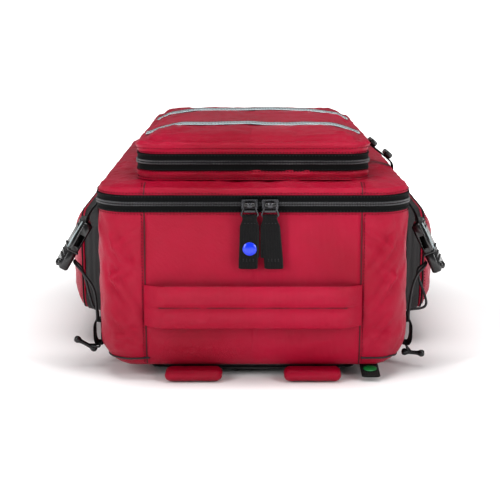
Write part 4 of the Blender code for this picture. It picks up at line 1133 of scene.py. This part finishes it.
# ---- Side pockets ----
def side_grid(side, layers, look, name, body, box_y, box_z, radius, relief_seed, amount, closed=True):
    """A pouch of rings in the side plane, each at its own distance out from the pack."""
    sign = SIDE_SIGN[side]
    rows = []
    for out, draw in layers:
        bend = max(radius - draw, 0.006)
        flat, _ = ring(box_y[0] + draw, box_y[1] - draw, box_z[0] + draw, box_z[1] - draw, bend, 300)
        rows.append(np.column_stack([np.full(300, sign * out), flat]))
    block = np.array(rows)
    flat = block.reshape(-1, 3)
    share = np.repeat(np.linspace(0, 1, len(layers)), 300)
    shape = amount * ripple(flat, 0.035, relief_seed)
    shape += amount * np.abs(ripple(flat, 0.07, relief_seed + 1, 2))
    flat[:, 0] += sign * shape * np.clip(share * 3, 0, 1)
    flat[:, 0] += SHIFT_X
    faces = grid_faces(len(layers), 300, True)
    if closed:
        faces.append(tuple(range((len(layers) - 1) * 300, len(layers) * 300)))
    uv = flat[:, [1, 2]]
    return solid(name, flat, faces, LOOKS[look], body, uv)


def build_side_pocket(side):
    low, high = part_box("side_pocket_" + side)
    flap_low, flap_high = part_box("side_flap_" + side)
    inner = 0.1876
    outer = max(abs(low.x - SHIFT_X), abs(high.x - SHIFT_X))
    out_z, out_y = (low.z, high.z), (low.y, high.y)
    gusset = [(inner, 0.0), (inner + 0.006, -0.0012), (inner + 0.014, 0.0), (inner + 0.022, 0.0016),
              (outer - 0.001, 0.0035), (outer, 0.006), (outer, 0.016)]
    made = side_grid(side, refine(gusset, 0.003), "black_cloth", "pocket_sides_" + side, "pack", out_y, out_z,
                     0.03, 71, 0.0005, closed=False)
    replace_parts(made, "side_pocket_" + side)
    base = min(abs(flap_low.x - SHIFT_X), abs(flap_high.x - SHIFT_X))
    top = max(abs(flap_low.x - SHIFT_X), abs(flap_high.x - SHIFT_X))
    layers = [(base, 0.010), (base, -0.0010), (base + 0.0016, -0.0016), (base + 0.0032, 0.0)]
    for step in range(1, 15):
        share = step / 14
        out = base + 0.0032 + (top - base - 0.0042) * math.sin(share * math.pi / 2)
        layers.append((out, 0.050 * share ** 1.25))
    flap = side_grid(side, layers, "red", "flap_" + side, "side_flap_" + side, (flap_low.y, flap_high.y),
                     (flap_low.z, flap_high.z), 0.028, 73, 0.0009)
    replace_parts(flap, "side_flap_" + side)
    tree = surface_of(flap)
    sign = SIDE_SIGN[side]
    x = SHIFT_X + sign * (base + 0.003)
    hem = 0.004
    flat, _ = ring(flap_low.y + hem, flap_high.y - hem, flap_low.z + hem, flap_high.z - hem, 0.025, 200)
    route = [(x + sign * 0.003, y, z) for y, z in flat]
    stitches("flap_stitches_" + side, [lay_on(tree, route, lift=0.0004)], LOOKS["red_thread"],
             "side_flap_" + side)
    rim, _ = ring(flap_low.y, flap_high.y, flap_low.z, flap_high.z, 0.028, 200)
    edge, normals = lay_on(tree, [(x + sign * 0.0005, y, z) for y, z in rim], lift=0.0003)
    sweep("flap_binding_" + side, edge, normals, round_profile(0.0016, 8), LOOKS["web"], "side_flap_" + side,
          closed_profile=True)


# ---- Strips and strap on the lid ----
def build_strips():
    tree = surface_of(COVER)
    for node in ("reflective_strip_near", "reflective_strip_far"):
        low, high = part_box(node)
        y, width = (low.y + high.y) / 2, high.y - low.y
        route = [(x, y, COVER_HIGH.z + 0.02) for x in np.linspace(low.x + 0.002, high.x - 0.002, 120)]
        path = []
        for point in route:
            spot, _, _, _ = tree.ray_cast(Vector(point), Vector((0, 0, -1)))
            if spot is not None:
                path.append(np.array(spot))
        path = np.array(path)
        kernel = np.ones(7) / 7
        padded = np.pad(path[:, 2], 3, mode="edge")
        path[:, 2] = np.convolve(padded, kernel, mode="valid") + 0.0012
        along = unit(np.gradient(path, axis=0))
        normals = np.cross(along, (0.0, 1.0, 0.0)) * -1
        normals *= np.sign(normals[:, 2:3])
        profile = [(-width / 2, -0.0010), (-width / 2, 0.0002), (-width * 0.46, 0.0005), (0, 0.0006),
                   (width * 0.46, 0.0005), (width / 2, 0.0002), (width / 2, -0.0010)]
        strip = sweep(node + "_tape", path, normals, profile, LOOKS["shine"], "pocket_lid")
        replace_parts(strip, node)
        rows = []
        for edge in (-1, 1):
            moved = path + np.array((0, edge * width * 0.42, 0)) + normals * 0.0007
            rows.append((moved, normals))
        stitches(node + "_stitches", rows, LOOKS["thread"], "pocket_lid")


def build_lid_strap():
    low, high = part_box("lid_strap")
    y, width = (low.y + high.y) / 2, high.y - low.y
    route = [(low.x - 0.006, y, high.z + 0.004), (low.x + 0.004, y, high.z - 0.003),
             (low.x + 0.016, y, high.z - 0.013), (high.x - 0.008, y, low.z + 0.004),
             (high.x, y, low.z - 0.004), (high.x + 0.0015, y, low.z - 0.012)]
    made = strap("compression_strap", route, (0, 1, 0), width, 0.0022, "web", "lid")
    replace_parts(made, "lid_strap")
    middle = ((low.x + high.x) / 2 + 0.001, y, (low.z + high.z) / 2 + 0.0035)
    place = Matrix.Translation(middle) @ Matrix.Rotation(math.radians(38), 4, "Y")
    for index, shift in enumerate((-0.011, 0.015)):
        brick("strap_lock_%d" % index, (shift - 0.0055, -width * 0.58, -0.0032),
              (shift + 0.0055, width * 0.58, 0.0036), 0.0022, "plastic", "lid", place)
    softened("pocket_slider", 0.0010, "steel", "pocket_slider")


# ---- Back of the pack: yokes, straps, pads ----
def pad(name, node, look, body, box_xy, z_low, z_high, radius, amount=0.0006):
    """A flat padded piece with rolled edges."""
    low_x, high_x, low_y, high_y = box_xy
    middle = (z_low + z_high) / 2
    half = (z_high - z_low) / 2
    most = min(high_x - low_x, high_y - low_y) / 2 - 0.0005
    levels = []
    for step in range(9):
        turn = -math.pi / 2 + math.pi * step / 8
        draw = half * (1 - math.cos(turn))
        levels.append((middle + half * math.sin(turn), draw, draw))
    inset = min(most, 0.016)
    levels = [(z_low, inset, inset)] + levels + [(z_high, inset, inset)]
    if most > 0.02:
        levels.append((z_high, most * 0.8, most * 0.8))

    def relief(points, normals):
        return amount * ripple(points, 0.03, 81) * 0.5 - amount * 0.5

    made = skin(name, box_xy, levels, radius, relief, LOOKS[look], body)
    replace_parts(made, node)
    return made


def box_of(node):
    low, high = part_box(node)
    return (low.x, high.x, low.y, high.y), low.z, high.z


def build_back():
    box, low, high = box_of("back_panel")
    made = pad("back_cloth", "back_panel", "foam", "pack", box, low, high, 0.04)
    for node in ("lumbar_pad", "back_pad_left", "back_pad_right"):
        box, low, high = box_of(node)
        made = pad(node + "_cloth", node, "foam", "pack", box, low, high, 0.006)
    for side in ("left", "right"):
        box, low, high = box_of("strap_yoke_" + side)
        made = pad("yoke_" + side, "strap_yoke_" + side, "red", "pack", box, low, high, 0.008)
        box, low, high = box_of("shoulder_strap_" + side)
        node = "shoulder_strap_" + side
        made = pad("strap_pad_" + side, node, "foam", node, box, low, high, 0.015)
        box, low, high = box_of("strap_webbing_" + side)
        route = [((box[0] + box[1]) / 2, y, (low + high) / 2) for y in np.linspace(box[2], box[3], 6)]
        made = strap("lower_strap_" + side, route, (1, 0, 0), box[1] - box[0], high - low, "web", "pack")
        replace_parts(made, "strap_webbing_" + side)
    low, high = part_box("rear_zipper_tape")
    panel = (low.x + 0.0018, high.x - 0.0018, low.y + 0.0018, 0.26)
    made = zipper("rear_zip", panel, low.z, high.z, 0.03, high.y, "pack", True)
    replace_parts(made, "rear_zipper_tape")
    low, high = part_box("rear_pull_tab")
    x = (low.x + high.x) / 2
    route = [(x, high.y, high.z - 0.0016), (x, high.y - 0.018, high.z - 0.0032),
             (x, low.y + 0.016, low.z + 0.0040), (x, low.y, low.z + 0.0014)]
    made = strap("rear_tab_webbing", route, (1, 0, 0), high.x - low.x, 0.0026, "web", "rear_slider")
    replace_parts(made, "rear_pull_tab")
    softened("rear_slider", 0.0012, "steel", "rear_slider")
    for node, look in (("frame_sheet", "board"), ("divider_near", "divider"), ("divider_far", "divider")):
        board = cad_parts[node]
        board.data.materials.clear()
        board.data.materials.append(LOOKS[look])


build_handle()
for SIDE, LEAN in (("left", -0.0018), ("right", 0.0046)):
    build_slider(SIDE)
    build_pull(SIDE, LEAN)
    build_side_gear(SIDE)
    build_toggle(SIDE)
    build_side_pocket(SIDE)
build_snaps()
build_strips()
build_lid_strap()
build_back()
